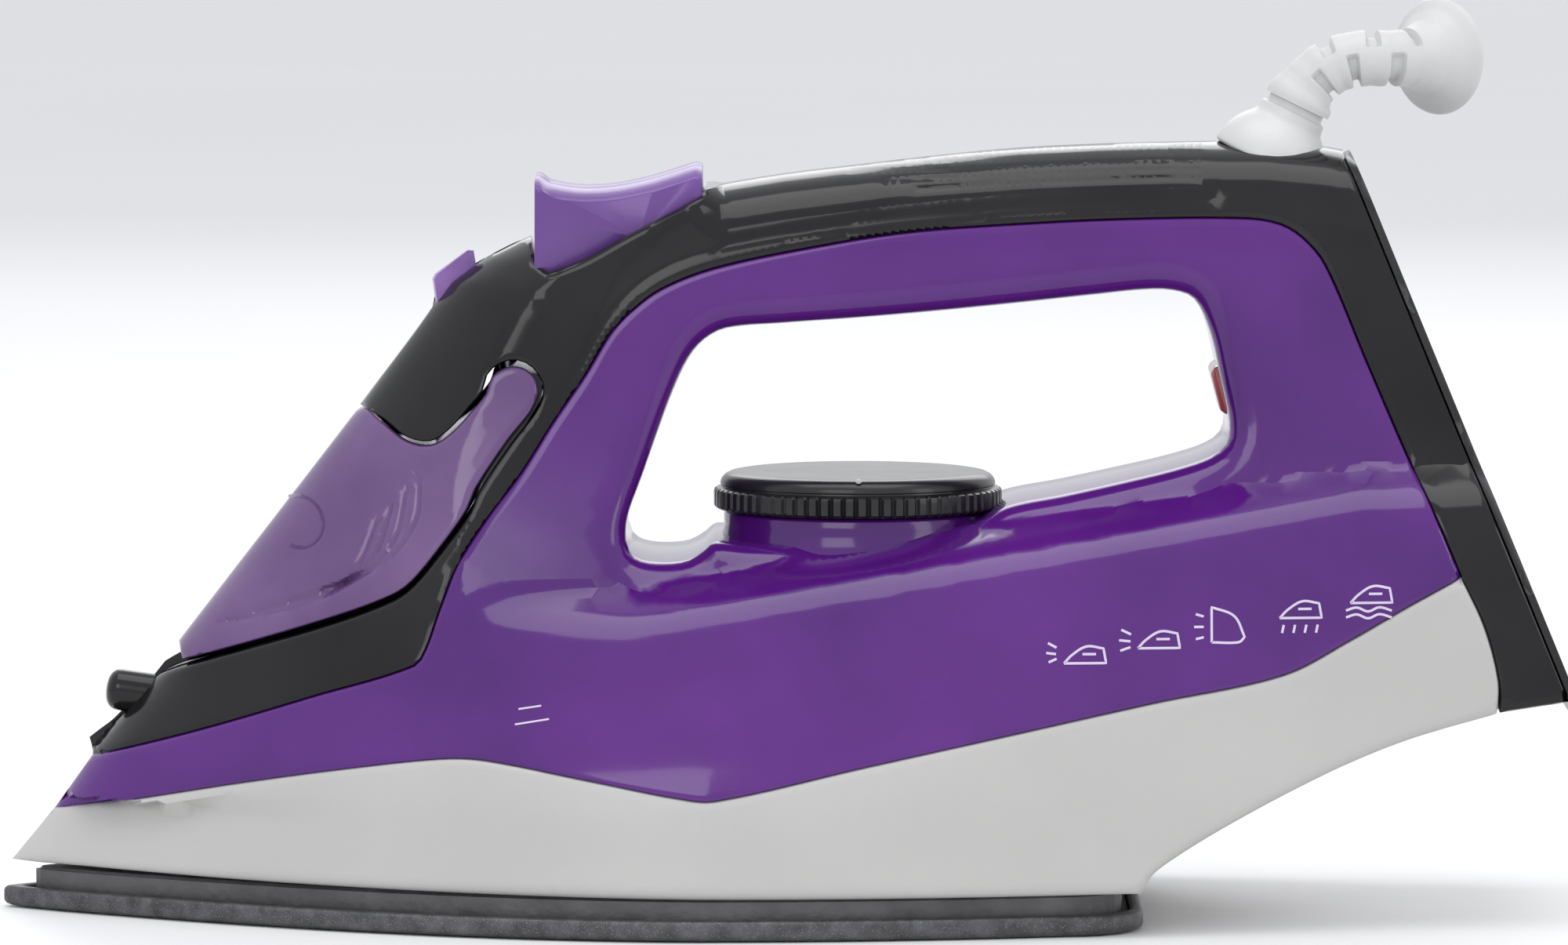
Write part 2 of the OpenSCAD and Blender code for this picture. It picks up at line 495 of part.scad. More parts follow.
// ---- pilot lamp -----------------------------------------------------------------------------------------
module lens_block(e) {
  translate([117.2, 0, 93.2]) rotate([0, -14.5, 0]) translate([-2.4 - e, -9 - e, -4.4 - e]) cube([4.8 + 2 * e, 18 + 2 * e, 8.8 + 2 * e]);
}
module pilot_lens() { color([0.75, 0.1, 0.1]) lens_block(0); }
module neon_lamp() { color("orange") translate([123.4, -4, 93]) rotate([-90, 0, 0]) cylinder(r = 2.4, h = 8); }
module terminal_block() { color("white") translate([121.5, -7, 107.6]) cube([8, 14, 9]); }
module lamp_leads() {
  color("red") for (m = [-1, 1]) translate([126.8, m * 2.2, 96]) rotate([0, 14, 0]) cylinder(r = 0.7, h = 11.6, $fn = 24);
}

// ---- cord entry --------------------------------------------------------------------------------------------
GB = [124.4, 132.6];    // centre of the ball, in side view
guard_tilt = 26;
ball_r = 10.4;
module ball_centre() { translate([GB[0], 0, GB[1]]) children(); }
module guard_base() { ball_centre() rotate([0, guard_tilt, 0]) children(); }
// centre line of the sleeve: up, over towards +X, then away from the user
BEND_1 = [13, 64];
BEND_2 = [14, 47];
FOOT = 13;
function arc_len(b) = b[0] * b[1] * PI / 180;
// [point, cross direction, cross direction] at a distance s along it
function path_at(s) = let (l1 = arc_len(BEND_1), l2 = arc_len(BEND_2))
  s <= 1 ? [[0, 0, 12 + s], [1, 0, 0], [0, 1, 0]] :
  s <= 1 + l1 ? let (a = (s - 1) / l1 * BEND_1[1], r = BEND_1[0]) [[r * (1 - cos(a)), 0, FOOT + r * sin(a)], [cos(a), 0, -sin(a)], [0, 1, 0]] :
  let (a = BEND_1[1], r = BEND_1[0], p = [r * (1 - cos(a)), 0, FOOT + r * sin(a)], u = [cos(a), 0, -sin(a)], t = [sin(a), 0, cos(a)],
    k = min(1, (s - 1 - l1) / l2) * BEND_2[1], q = BEND_2[0], over = max(0, s - 1 - l1 - l2))
  [p + q * (1 - cos(k)) * [0, 1, 0] + q * sin(k) * t + over * (sin(k) * [0, 1, 0] + cos(k) * t), u, cos(k) * [0, 1, 0] - sin(k) * t];
SIDES = 28;
function hoop(s, r) = let (c = path_at(s)) [for (i = [0:SIDES - 1]) let (a = 360 * i / SIDES) c[0] + r * (cos(a) * c[1] + sin(a) * c[2])];
LEN = 1 + arc_len(BEND_1) + arc_len(BEND_2) + 4.7;
// [distance, radius] round the sleeve's wall: outside, over the mouth, and back along the bore
WALL = concat([[0, guard_r], [1.2, guard_r], [3.4, 5.3], [4.2, 5.05]], [for (i = [3:10]) [2 * i, 5]],
  [[LEN - 9.5, 5.1], [LEN - 6.6, 5.5], [LEN - 4.2, 6.5], [LEN - 2, 8.4], [LEN - 0.7, 10.3], [LEN, 10.5], [LEN, 9.9], [LEN - 1.4, 8], [LEN - 2.8, 6], [LEN - 4.6, 4.6], [LEN - 7, cord_r]],
  [for (i = [10:-1:1]) [2 * i, cord_r]], [[0, cord_r]]);
module cord_collar() {
  color(white) ball_centre() difference() {
    translate([0, 0, -5]) cylinder(r = 12, h = 2.6);
    sphere(r = ball_r + 0.35, $fn = 64);
  }
}
module swivel_ring() {
  color("gray") ball_centre() difference() {
    translate([0, 0, -4]) cylinder(r = 5.6, h = 2.6);
    translate([0, 0, -5]) cylinder(r = cord_r + 0.4, h = 8);
  }
}
// domed ball that carries the guard
module cord_ball() {
  color(white) guard_base() rotate_extrude($fn = 64) polygon(concat(
    [for (a = [4:7:53]) ball_r * [cos(a), sin(a)]], [[4.9, 9.6], [4.9, 11.95], [cord_r + 0.2, 11.95], [cord_r + 0.2, 7.6]],
    [for (a = [59:-9:5]) (ball_r - 1.8) * [cos(a), sin(a)]]));
}
// flexible sleeve with a trumpet mouth
module cord_guard() {
  n = len(WALL);
  color(white) guard_base()
    polyhedron([for (w = WALL) each hoop(w[0], w[1])],
      [for (j = [0:n - 1]) for (i = [0:SIDES - 1])
        let (a = j * SIDES + i, b = j * SIDES + (i + 1) % SIDES, c = ((j + 1) % n) * SIDES + i, e = ((j + 1) % n) * SIDES + (i + 1) % SIDES)
        each [[a, c, b], [b, c, e]]]);
}

soleplate();
heater_casting();
heating_element();
steam_chamber_lid();
thermostat();
thermal_fuse();
heat_shield_skirt();
water_tank();
tank_boss_seal();
top_cover();
handle_rear_cover();
filler_door();
door_pins();
filler_seal();
spray_nozzle();
spray_hose();
spray_pump();
steam_pump();
spray_button();
steam_button();
spray_plunger();
steam_plunger();
spray_spring();
steam_spring();
steam_lever();
valve_rod();
valve_seat();
thermostat_dial();
dial_shaft();
dial_pointer();
pilot_lens();
neon_lamp();
terminal_block();
lamp_leads();
body_screws();
cover_screws();
cord_collar();
swivel_ring();
cord_ball();
cord_guard();
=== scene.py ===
import bpy, bmesh, math
import numpy as np
from mathutils import Vector, Matrix, geometry


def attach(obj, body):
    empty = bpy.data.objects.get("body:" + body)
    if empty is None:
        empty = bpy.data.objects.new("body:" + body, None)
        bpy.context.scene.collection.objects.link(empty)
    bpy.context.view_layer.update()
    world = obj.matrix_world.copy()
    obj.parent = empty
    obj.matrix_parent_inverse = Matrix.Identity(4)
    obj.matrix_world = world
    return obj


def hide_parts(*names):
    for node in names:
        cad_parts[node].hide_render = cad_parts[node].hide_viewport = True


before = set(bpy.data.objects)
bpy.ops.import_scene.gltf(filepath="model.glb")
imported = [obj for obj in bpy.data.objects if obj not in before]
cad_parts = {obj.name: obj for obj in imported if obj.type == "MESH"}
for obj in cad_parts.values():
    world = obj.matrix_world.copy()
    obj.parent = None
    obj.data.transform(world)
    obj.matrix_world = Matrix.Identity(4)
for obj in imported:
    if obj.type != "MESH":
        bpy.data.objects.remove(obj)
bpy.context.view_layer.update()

MM = 0.001
BODY = "housing"

# ---------------------------------------------------------------- outlines, mm
GRIP = 16.3
BODY_W = 56.0
SOLE_W = 57.3
NOSE = [(0, -106), (8, -100), (17.5, -92.3), (28.5, -85.2), (41.5, -74), (48, -69.7), (90, -37.3),
        (108, -24.4), (112, -21), (116, -15), (120, -7), (126, 6), (140, 20)]
FRAME = [(20, 33), (36, 31.5), (47, 31), (55, 28.6), (63, 26), (71, 23.4), (79, 21.2), (88, 19.4), (96, 18.2),
         (104, 17.3), (112, 16.6), (120, 16.3), (150, 16.2)]
SKIRT_TOP = [(-92.2, 17.6), (-76, 20.8), (-59, 24.2), (-40, 27.6), (-22, 30.2), (-14, 30.2), (5, 27.2), (20, 24.6),
             (26, 24.2), (52, 29.8), (79, 35.4), (103, 40.4), (126, 45), (138, 51), (148, 56.6), (157.5, 61.6)]
SKIRT_END = [(161.5, 53), (164, 43.4), (163.8, 37.6)]
SKIRT_LOW = [(148.7, 33.5), (137.6, 29.4), (126.5, 24.3), (115.3, 18.5), (107.1, 13.7), (102.6, 10.4), (101, 7.4),
             (60, 7.2), (20, 7.2), (-20, 7.4), (-60, 7.7), (-99.9, 8.3)]
BAND_LOW = [(-85.2, 27.4), (-65, 33.3), (-45, 39.8), (-27, 45.8), (-25, 48.6), (-22.7, 55), (-19.5, 63), (-14.4, 71),
            (-8.2, 79.2), (-2.7, 87.9), (3.1, 96.4), (7.5, 103.6), (11.2, 107.6), (16.5, 111.5), (26, 115.2), (44, 119),
            (60, 121.5), (80, 123), (100, 123.9), (120, 124), (126, 123), (130, 120.6), (134, 115.8), (141.5, 98.3),
            (148.3, 82.5), (152.4, 73.6), (157.5, 61.6)]
TOP = [(24.4, 128.9), (38, 131.1), (52, 132.8), (66, 134.4), (80, 135.7), (94, 136.4), (108, 136.8), (124, 136.8),
       (134.6, 135.9), (137.7, 135.4)]
GAP = [(10.3, 67.4), (10.6, 71.5), (13, 78.1), (15.8, 86), (18.6, 93.4), (21.4, 99.2), (24.2, 102.4), (28, 104.3),
       (38, 105.2), (52, 106.2), (66, 107.4), (80, 108.8), (94, 110.3), (102, 111.1), (107, 111), (110.9, 109.5),
       (113.7, 103.8), (115.5, 96), (117.1, 88), (116.6, 84), (113.8, 81.8), (108, 79.8), (99.8, 77.8), (88, 75.2),
       (77.6, 73.1), (72, 70.2), (51, 66.5), (32, 66.6), (26, 67), (24.2, 65.6), (21.4, 63.9), (17, 63.4), (13, 63.9), (11, 65.3)]
SPINE0, SPINE1 = np.array((139.0, 135.2)), np.array((178.0, 40.2))
SP_DIR = (SPINE1 - SPINE0) / np.linalg.norm(SPINE1 - SPINE0)
SP_OUT = np.array((-SP_DIR[1], SP_DIR[0]))
def spine(t, inset):
    return tuple(SPINE0 + t * (SPINE1 - SPINE0) - inset * SP_OUT)
DP = (-10.1, 93.4)
DOOR_FRONT = [(-69.9, 47.6), (-60, 60.4), (-50, 73.3), (-38.2, 88.6)]
DOOR_TOP = [(-36.6, 89.4), (-33, 87.2), (-28.6, 84.3), (-24.3, 83.8), (-20.7, 86), (-16.8, 90.2), (-14.6, 92.9),
            (-13.5, 95.9), (-11, 97.6), (-8.2, 97.6), (-5.9, 95.8), (-5.2, 93)]
DOOR_BACK = [(-6.6, 90), (-10.7, 84.9), (-16.4, 76.4), (-17.8, 73), (-22, 67), (-27.6, 60.2), (-31.3, 57.6),
             (-42.8, 53.2), (-66.4, 45.6), (-69.0, 44.9)]

def taper(a):
    a = np.clip(a, 0, 1)
    return 1 - (1 - a) ** 1.8

def pchip(K, V, x):
    """monotone cubic through (K, V), a table for each x"""
    x = np.asarray(x, float)
    K = np.broadcast_to(np.atleast_2d(K), (len(x), np.shape(K)[-1])).astype(float)
    V = np.broadcast_to(np.atleast_2d(V), K.shape).astype(float)
    x = np.clip(x, K[:, 0], K[:, -1])
    h = np.diff(K, axis=1)
    d = np.diff(V, axis=1) / h
    m = np.zeros_like(K)
    w1, w2 = 2 * h[:, 1:] + h[:, :-1], h[:, 1:] + 2 * h[:, :-1]
    ok = d[:, 1:] * d[:, :-1] > 0
    a = np.where(ok, d[:, :-1], 1.0)
    b = np.where(ok, d[:, 1:], 1.0)
    m[:, 1:-1] = np.where(ok, (w1 + w2) / (w1 / a + w2 / b), 0)
    m[:, 0], m[:, -1] = d[:, 0], d[:, -1]
    i = np.clip((K <= x[:, None]).sum(1) - 1, 0, K.shape[1] - 2)
    r = np.arange(len(x))
    hh = h[r, i]
    t = (x - K[r, i]) / hh
    y0, y1, m0, m1 = V[r, i], V[r, i + 1], m[r, i], m[r, i + 1]
    return ((1 + 2 * t) * (1 - t) ** 2 * y0 + t * (1 - t) ** 2 * hh * m0 + t * t * (3 - 2 * t) * y1 + t * t * (t - 1) * hh * m1)

def nose_x(z):
    return np.interp(z, [p[0] for p in NOSE], [p[1] for p in NOSE])

LOW = [(3, 0, 56.7), (8, 0, 56.5), (13, 0, 55.6), (24, 0, 53.7), (40, .06, 47.6), (52, .12, 42), (57, .15, 38.5), (60.4, .16, 32), (62.6, .16, 22), (64, .16, 6), (64.5, .16, 0)]
def h_low(x, z):
    s = np.clip(x - 31, -20, 110)
    K = np.array([l[0] for l in LOW])[None] + s[:, None] * np.array([l[1] for l in LOW])[None]
    W = pchip(K, np.array([l[2] for l in LOW]), z)
    xf = nose_x(z)
    fore = np.sqrt((W * taper((x - xf) / (30 - xf))) ** 2 + 5 * np.clip(x - xf, 0, 5) * (W > 5))
    aft = W + (np.minimum(29, 0.66 * W) - W) * (np.clip(x - 30, 0, 200) / 156) ** 1.6
    h = np.where(x < 30, np.minimum(fore, W), aft)
    h = np.where(x <= xf, 0, h)
    return np.where(z > K[:, -1], -6 * (z - K[:, -1]), h)

CROWN_D = [0, 0.12, 0.5, 1.4, 3.5, 7, 12]
CROWN_W = [0, 2.6, 5.6, 8.9, 12.4, 15.2, 16.4]
def h_up(x, z):
    w = pchip([p[0] for p in FRAME], [p[1] for p in FRAME], z)
    top = np.interp(x, [p[0] for p in TOP], [p[1] for p in TOP]) + np.clip(27 - x, 0, 60) * 1.6
    w = np.minimum(w, pchip(CROWN_D, CROWN_W, top - z) + np.where(top - z > 11, 30, 0))
    return np.where(z < 20, 0, np.minimum(w, np.sqrt(np.clip(17 * (x - nose_x(z)), 0, None))))

def half(x, z):
    a, b = h_low(x, z), h_up(x, z)
    k = 7.0
    e = np.clip(k - np.abs(a - b), 0, None) / k
    return np.where(np.minimum(a, b) <= 0.2, np.maximum(a, b), np.maximum(a, b) + e * e * k * 0.22 * np.clip(np.minimum(a, b) / 6, 0, 1))

# ---------------------------------------------------------------- 2-D helpers
def curve(pts, step=1.5, corner=38, closed=False):
    """a smooth line through the points, kept sharp where it turns more than corner degrees"""
    P = [np.array(p, float) for p in pts]
    n = len(P)
    def turn(i):
        a, b, c = P[i - 1], P[i], P[(i + 1) % n]
        u, v = b - a, c - b
        return abs(math.degrees(math.atan2(u[0] * v[1] - u[1] * v[0], u @ v)))
    out = []
    for i in range(n if closed else n - 1):
        p1, p2 = P[i], P[(i + 1) % n]
        s1 = (not closed and i == 0) or turn(i) > corner
        s2 = (not closed and i == n - 2) or turn((i + 1) % n) > corner
        p0 = p1 * 2 - p2 if s1 else P[i - 1]
        p3 = p2 * 2 - p1 if s2 else P[(i + 2) % n]
        L = np.linalg.norm(p2 - p1)
        t0, t1 = (p2 - p0), (p3 - p1)
        l0, l1 = np.linalg.norm(t0) + 1e-9, np.linalg.norm(t1) + 1e-9
        m1, m2 = t0 / l0 * L, t1 / l1 * L
        k = max(1, int(round(L / step)))
        for j in range(k):
            t = j / k
            out.append((1 + 2 * t) * (1 - t) ** 2 * p1 + t * (1 - t) ** 2 * m1 + t * t * (3 - 2 * t) * p2 + t * t * (t - 1) * m2)
    if not closed:
        out.append(P[-1])
    return np.array(out)

def dist(P, line, closed=False):
    A = line if closed else line[:-1]
    B = np.roll(line, -1, axis=0) if closed else line[1:]
    out = np.full(len(P), 1e9)
    for c in range(0, len(P), 4000):
        p = P[c:c + 4000, None]
        d = B - A
        L = (d ** 2).sum(1) + 1e-12
        t = np.clip(((p - A) * d).sum(2) / L, 0, 1)
        q = A + t[..., None] * d
        out[c:c + 4000] = np.sqrt(((p - q) ** 2).sum(2)).min(1)
    return out

def inside(P, loop):
    x, y = P[:, 0], P[:, 1]
    r = np.zeros(len(P), bool)
    a, b = loop, np.roll(loop, -1, axis=0)
    for (x1, y1), (x2, y2) in zip(a, b):
        if y1 != y2:
            r ^= ((y1 > y) != (y2 > y)) & (x < (x2 - x1) * (y - y1) / (y2 - y1) + x1)
    return r

def fillet(h, d, r):
    k = np.clip(r - d, 0, r)
    return h - (r - np.sqrt(np.clip(r * r - k * k, 0, None)))

def fill(outer, holes=(), rows=(), grid=2.4, extra=()):
    """triangles of a flat region: outer loop and holes, with rows of points beside the given lines"""
    loops = [outer] + list(holes)
    pts = []
    for line, ds, closed in rows:
        t = np.roll(line, -1, axis=0) - np.roll(line, 1, axis=0) if closed else np.gradient(line, axis=0)
        t /= np.linalg.norm(t, axis=1)[:, None] + 1e-9
        nrm = np.stack((-t[:, 1], t[:, 0]), 1)
        for d in ds:
            if d == 0:
                continue
            for s in (-1, 1):
                q = line + s * d * nrm
                pts.append(q[dist(q, line, closed) > 0.93 * d])
    lo, hi = outer.min(0), outer.max(0)
    g = []
    k = 0
    y = lo[1]
    while y < hi[1]:
        xs = np.arange(lo[0] + (k % 2) * grid / 2, hi[0], grid)
        g.append(np.stack((xs, np.full(len(xs), y)), 1))
        y += grid * 0.866
        k += 1
    g = np.concatenate(g)
    if rows:
        far = np.min([dist(g, l, c) - max(ds) for l, ds, c in rows], axis=0)
        g = g[far > grid * 0.45]
    pts = np.concatenate(pts + [np.array(e) for e in extra] + [g]) if pts or len(g) else g
    keep = inside(pts, outer)
    for hl in holes:
        keep &= ~inside(pts, hl)
    for l in loops:
        keep &= dist(pts, l, True) > 0.07
    pts = pts[keep]
    # thin out points that nearly meet
    key = {}
    for i, p in enumerate(pts):
        key.setdefault((round(p[0] / 0.09), round(p[1] / 0.09)), i)
    pts = pts[sorted(key.values())]
    co, ed = [], []
    for l in loops:
        s = len(co)
        co += [tuple(p) for p in l]
        ed += [(s + i, s + (i + 1) % len(l)) for i in range(len(l))]
    co += [tuple(p) for p in pts]
    r = geometry.delaunay_2d_cdt([Vector(c) for c in co], ed, [], 0, 1e-5)
    V = np.array([tuple(v) for v in r[0]])
    F = np.array([f for f in r[2] if len(f) == 3])
    C = V[F].mean(1)
    k = inside(C, outer)
    for hl in holes:
        k &= ~inside(C, hl)
    F = F[k]
    a, b, c = V[F[:, 0]], V[F[:, 1]], V[F[:, 2]]
    area = (b[:, 0] - a[:, 0]) * (c[:, 1] - a[:, 1]) - (b[:, 1] - a[:, 1]) * (c[:, 0] - a[:, 0])
    F[area < 0] = F[area < 0][:, ::-1]
    return V, F[np.abs(area) > 1e-7]

def rim(F):
    e = {}
    for f in F:
        for i in range(3):
            a, b = int(f[i]), int(f[(i + 1) % 3])
            if (b, a) in e:
                del e[(b, a)]
            else:
                e[(a, b)] = 1
    return list(e)

def finish_mesh(name, verts, faces, mat, angle=32, body=BODY, smooth=True, weld=2e-6):
    me = bpy.data.meshes.new(name)
    me.from_pydata([tuple(v) for v in verts], [], [tuple(int(i) for i in f) for f in faces])
    bm = bmesh.new()
    bm.from_mesh(me)
    bmesh.ops.remove_doubles(bm, verts=bm.verts, dist=weld)
    bmesh.ops.dissolve_degenerate(bm, edges=bm.edges, dist=weld / 2)
    bmesh.ops.delete(bm, geom=[v for v in bm.verts if not v.link_faces], context="VERTS")
    bmesh.ops.recalc_face_normals(bm, faces=bm.faces)
    bm.to_mesh(me)
    bm.free()
    me.shade_smooth() if hasattr(me, "shade_smooth") else None
    for p in me.polygons:
        p.use_smooth = smooth
    me.set_sharp_from_angle(angle=math.radians(angle))
    ob = bpy.data.objects.new(name, me)
    bpy.context.scene.collection.objects.link(ob)
    me.materials.append(mat)
    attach(ob, body)
    return ob

def lens(name, V, F, h, mat, **kw):
    """a solid block: the flat region lifted to +-h"""
    n = len(V)
    verts = [(p[0] * MM, -t * MM, p[1] * MM) for p, t in zip(V, h)] + [(p[0] * MM, t * MM, p[1] * MM) for p, t in zip(V, h)]
    faces = [tuple(f) for f in F] + [(f[2] + n, f[1] + n, f[0] + n) for f in F]
    faces += [(b, a, a + n, b + n) for a, b in rim(F)]
    return finish_mesh(name, verts, faces, mat, **kw)

def shell(name, V, F, ho, hi, mat, **kw):
    """a curved shell: outside +-ho, inside +-hi, closed round its rim"""
    n = len(V)
    hi = np.minimum(np.clip(hi, 0, None), ho)
    verts = []
    for s, hh in ((-1, ho), (1, ho), (-1, hi), (1, hi)):
        verts += [(p[0] * MM, s * t * MM, p[1] * MM) for p, t in zip(V, hh)]
    faces = [tuple(f) for f in F] + [(f[2] + n, f[1] + n, f[0] + n) for f in F]
    for f in F:
        if max(hi[f]) > 1e-6:
            faces += [(f[2] + 2 * n, f[1] + 2 * n, f[0] + 2 * n), (f[0] + 3 * n, f[1] + 3 * n, f[2] + 3 * n)]
    for a, b in rim(F):
        if max(hi[a], hi[b]) <= 1e-6:
            faces += [(b, a, a + n, b + n)]
        else:
            faces += [(b, a, a + 2 * n, b + 2 * n), (a + n, b + n, b + 3 * n, a + 3 * n)]
    return finish_mesh(name, verts, faces, mat, **kw)

def lathe(profile, seg, centre=(0, 0, 0), frame_m=None, radius=None):
    """rings of (r, z) turned about +Z; radius(r, z, angle) may change r"""
    V, F = [], []
    n = len(profile)
    for r, z in profile:
        for i in range(seg):
            a = 2 * math.pi * i / seg
            rr = radius(r, z, a) if radius else r
            p = Vector((rr * math.cos(a), rr * math.sin(a), z))
            if frame_m:
                p = frame_m @ p
            V.append(((p.x + centre[0]) * MM, (p.y + centre[1]) * MM, (p.z + centre[2]) * MM))
    for j in range(n - 1):
        for i in range(seg):
            k = (i + 1) % seg
            F.append((j * seg + i, j * seg + k, (j + 1) * seg + k, (j + 1) * seg + i))
    return V, F

# ---------------------------------------------------------------- materials
def material(name, color, rough=0.4, var=0.06, rvar=0.06, scale=60, bump=0.02, bscale=900, coat=0.0, metal=0.0,
             transmission=0.0, sss=0.0, speck=None, brushed=False, alpha=1.0, ior=1.5, coat_rough=0.05, cloud=None):
    m = bpy.data.materials.new(name)
    m.use_nodes = True
    nt = m.node_tree
    b = nt.nodes["Principled BSDF"]
    L = nt.links.new
    co = nt.nodes.new("ShaderNodeTexCoord")
    src = co.outputs["Object"]
    if brushed:
        mp = nt.nodes.new("ShaderNodeMapping")
        mp.inputs["Scale"].default_value = (1.0, 26.0, 26.0)
        L(src, mp.inputs["Vector"])
        src = mp.outputs["Vector"]
    n1 = nt.nodes.new("ShaderNodeTexNoise")
    n1.inputs["Scale"].default_value = scale
    n1.inputs["Detail"].default_value = 6
    L(src, n1.inputs["Vector"])
    ramp = nt.nodes.new("ShaderNodeValToRGB")
    c = np.array(color[:3])
    lo, hi = c * (1 - var), np.clip(c * (1 + var) + var * 0.02, 0, 1)
    if cloud is not None:
        hi = np.array(cloud)
    ramp.color_ramp.elements[0].color = (*lo, 1)
    ramp.color_ramp.elements[1].color = (*hi, 1)
    ramp.color_ramp.elements[0].position = 0.32
    ramp.color_ramp.elements[1].position = 0.7
    L(n1.outputs["Fac"], ramp.inputs["Fac"])
    col = ramp.outputs["Color"]
    if speck:
        v = nt.nodes.new("ShaderNodeTexVoronoi")
        v.inputs["Scale"].default_value = speck[0]
        L(co.outputs["Object"], v.inputs["Vector"])
        r2 = nt.nodes.new("ShaderNodeValToRGB")
        r2.color_ramp.elements[0].position = speck[1]
        r2.color_ramp.elements[1].position = speck[1] + 0.08
        r2.color_ramp.elements[0].color = (1, 1, 1, 1)
        r2.color_ramp.elements[1].color = (0, 0, 0, 1)
        L(v.outputs["Distance"], r2.inputs["Fac"])
        mx = nt.nodes.new("ShaderNodeMix")
        mx.data_type = "RGBA"
        L(r2.outputs["Color"], mx.inputs["Factor"])
        L(col, mx.inputs["A"])
        mx.inputs["B"].default_value = (*speck[2], 1)
        col = mx.outputs["Result"]
    L(col, b.inputs["Base Color"])
    n2 = nt.nodes.new("ShaderNodeTexNoise")
    n2.inputs["Scale"].default_value = scale * 2.3
    n2.inputs["Detail"].default_value = 5
    L(src, n2.inputs["Vector"])
    mr = nt.nodes.new("ShaderNodeMapRange")
    mr.inputs["To Min"].default_value = max(0.02, rough - rvar)
    mr.inputs["To Max"].default_value = min(1.0, rough + rvar)
    L(n2.outputs["Fac"], mr.inputs["Value"])
    L(mr.outputs["Result"], b.inputs["Roughness"])
    n3 = nt.nodes.new("ShaderNodeTexNoise")
    n3.inputs["Scale"].default_value = bscale
    n3.inputs["Detail"].default_value = 4
    L(src, n3.inputs["Vector"])
    bp = nt.nodes.new("ShaderNodeBump")
    bp.inputs["Strength"].default_value = bump
    bp.inputs["Distance"].default_value = 0.0004
    L(n3.outputs["Fac"], bp.inputs["Height"])
    L(bp.outputs["Normal"], b.inputs["Normal"])
    b.inputs["Metallic"].default_value = metal
    b.inputs["IOR"].default_value = ior
    b.inputs["Coat Weight"].default_value = coat
    b.inputs["Coat Roughness"].default_value = coat_rough
    b.inputs["Transmission Weight"].default_value = transmission
    if sss:
        b.inputs["Subsurface Weight"].default_value = sss
        b.inputs["Subsurface Radius"].default_value = (0.006, 0.003, 0.006)
    b.inputs["Alpha"].default_value = alpha
    return m

M = {
    "tank": material("tank_violet", (0.066, 0.006, 0.150), 0.13, cloud=(0.105, 0.014, 0.210), scale=22, rvar=0.04, bump=0.012, bscale=400, coat=0.25, ior=1.42),
    "tank_light": material("door_violet", (0.10, 0.045, 0.155), 0.16, cloud=(0.16, 0.085, 0.225), scale=30, rvar=0.05, bump=0.015, bscale=500, coat=0.3, ior=1.45),
    "button": material("button_violet", (0.105, 0.034, 0.215), 0.3, cloud=(0.135, 0.050, 0.26), scale=45, bump=0.05, bscale=1500, coat=0.15),
    "black": material("cover_black", (0.004, 0.004, 0.0045), 0.13, var=0.3, rvar=0.045, scale=30, bump=0.01, bscale=350, coat=0.12, coat_rough=0.05, ior=1.38),
    "rear": material("rear_black", (0.006, 0.006, 0.0065), 0.24, var=0.25, scale=40, bump=0.03, bscale=1200, coat=0.1, ior=1.4),
    "skirt": material("skirt_white", (0.47, 0.465, 0.45), 0.45, var=0.035, scale=25, bump=0.06, bscale=1800, coat=0.08, sss=0.05),
    "white": material("guard_white", (0.58, 0.58, 0.575), 0.38, var=0.03, scale=60, bump=0.04, bscale=1400, sss=0.08),
    "sleeve": material("sleeve_white", (0.57, 0.57, 0.565), 0.5, var=0.04, scale=80, bump=0.06, bscale=1600, sss=0.1),
    "rim": material("sole_rim", (0.085, 0.085, 0.09), 0.45, var=0.35, scale=300, bump=0.25, bscale=2600, metal=0.55, speck=(2400, 0.16, (0.22, 0.22, 0.23))),
    "sole": material("sole_steel", (0.52, 0.53, 0.55), 0.24, var=0.12, scale=40, bump=0.05, bscale=260, metal=1.0, brushed=True),
    "cast": material("cast_aluminium", (0.13, 0.13, 0.135), 0.5, var=0.2, scale=120, bump=0.3, bscale=700, metal=0.8),
    "dial": material("dial_black", (0.007, 0.007, 0.008), 0.32, ior=1.42, var=0.3, scale=60, bump=0.07, bscale=1800, coat=0.2),
    "lens": material("lens_red", (0.42, 0.05, 0.06), 0.16, cloud=(0.62, 0.2, 0.2), scale=90, bump=0.03, bscale=900, coat=0.5, transmission=0.25),
    "gem": material("pointer_violet", (0.045, 0.004, 0.10), 0.2, cloud=(0.075, 0.012, 0.15), scale=200, bump=0.04, coat=0.5),
    "steel": material("pin_steel", (0.55, 0.56, 0.58), 0.28, var=0.1, scale=200, bump=0.06, bscale=1500, metal=1.0),
    "rubber": material("seal_rubber", (0.02, 0.02, 0.02), 0.75, var=0.3, scale=200, bump=0.2, bscale=2500),
    "ceramic": material("ceramic", (0.62, 0.56, 0.45), 0.6, var=0.1, scale=150, bump=0.12, bscale=1800),
    "print": material("print_white", (0.62, 0.55, 0.7), 0.5, var=0.04, scale=300, bump=0.02),
    "mark": material("mark_grey", (0.45, 0.45, 0.46), 0.5, var=0.04, scale=300, bump=0.02),
    "lead": material("lead_red", (0.3, 0.02, 0.02), 0.55, var=0.1, scale=300, bump=0.05),
    "lever": material("lever_violet", (0.22, 0.1, 0.38), 0.3, cloud=(0.3, 0.16, 0.46), scale=120, bump=0.05, bscale=1500, coat=0.2),
}

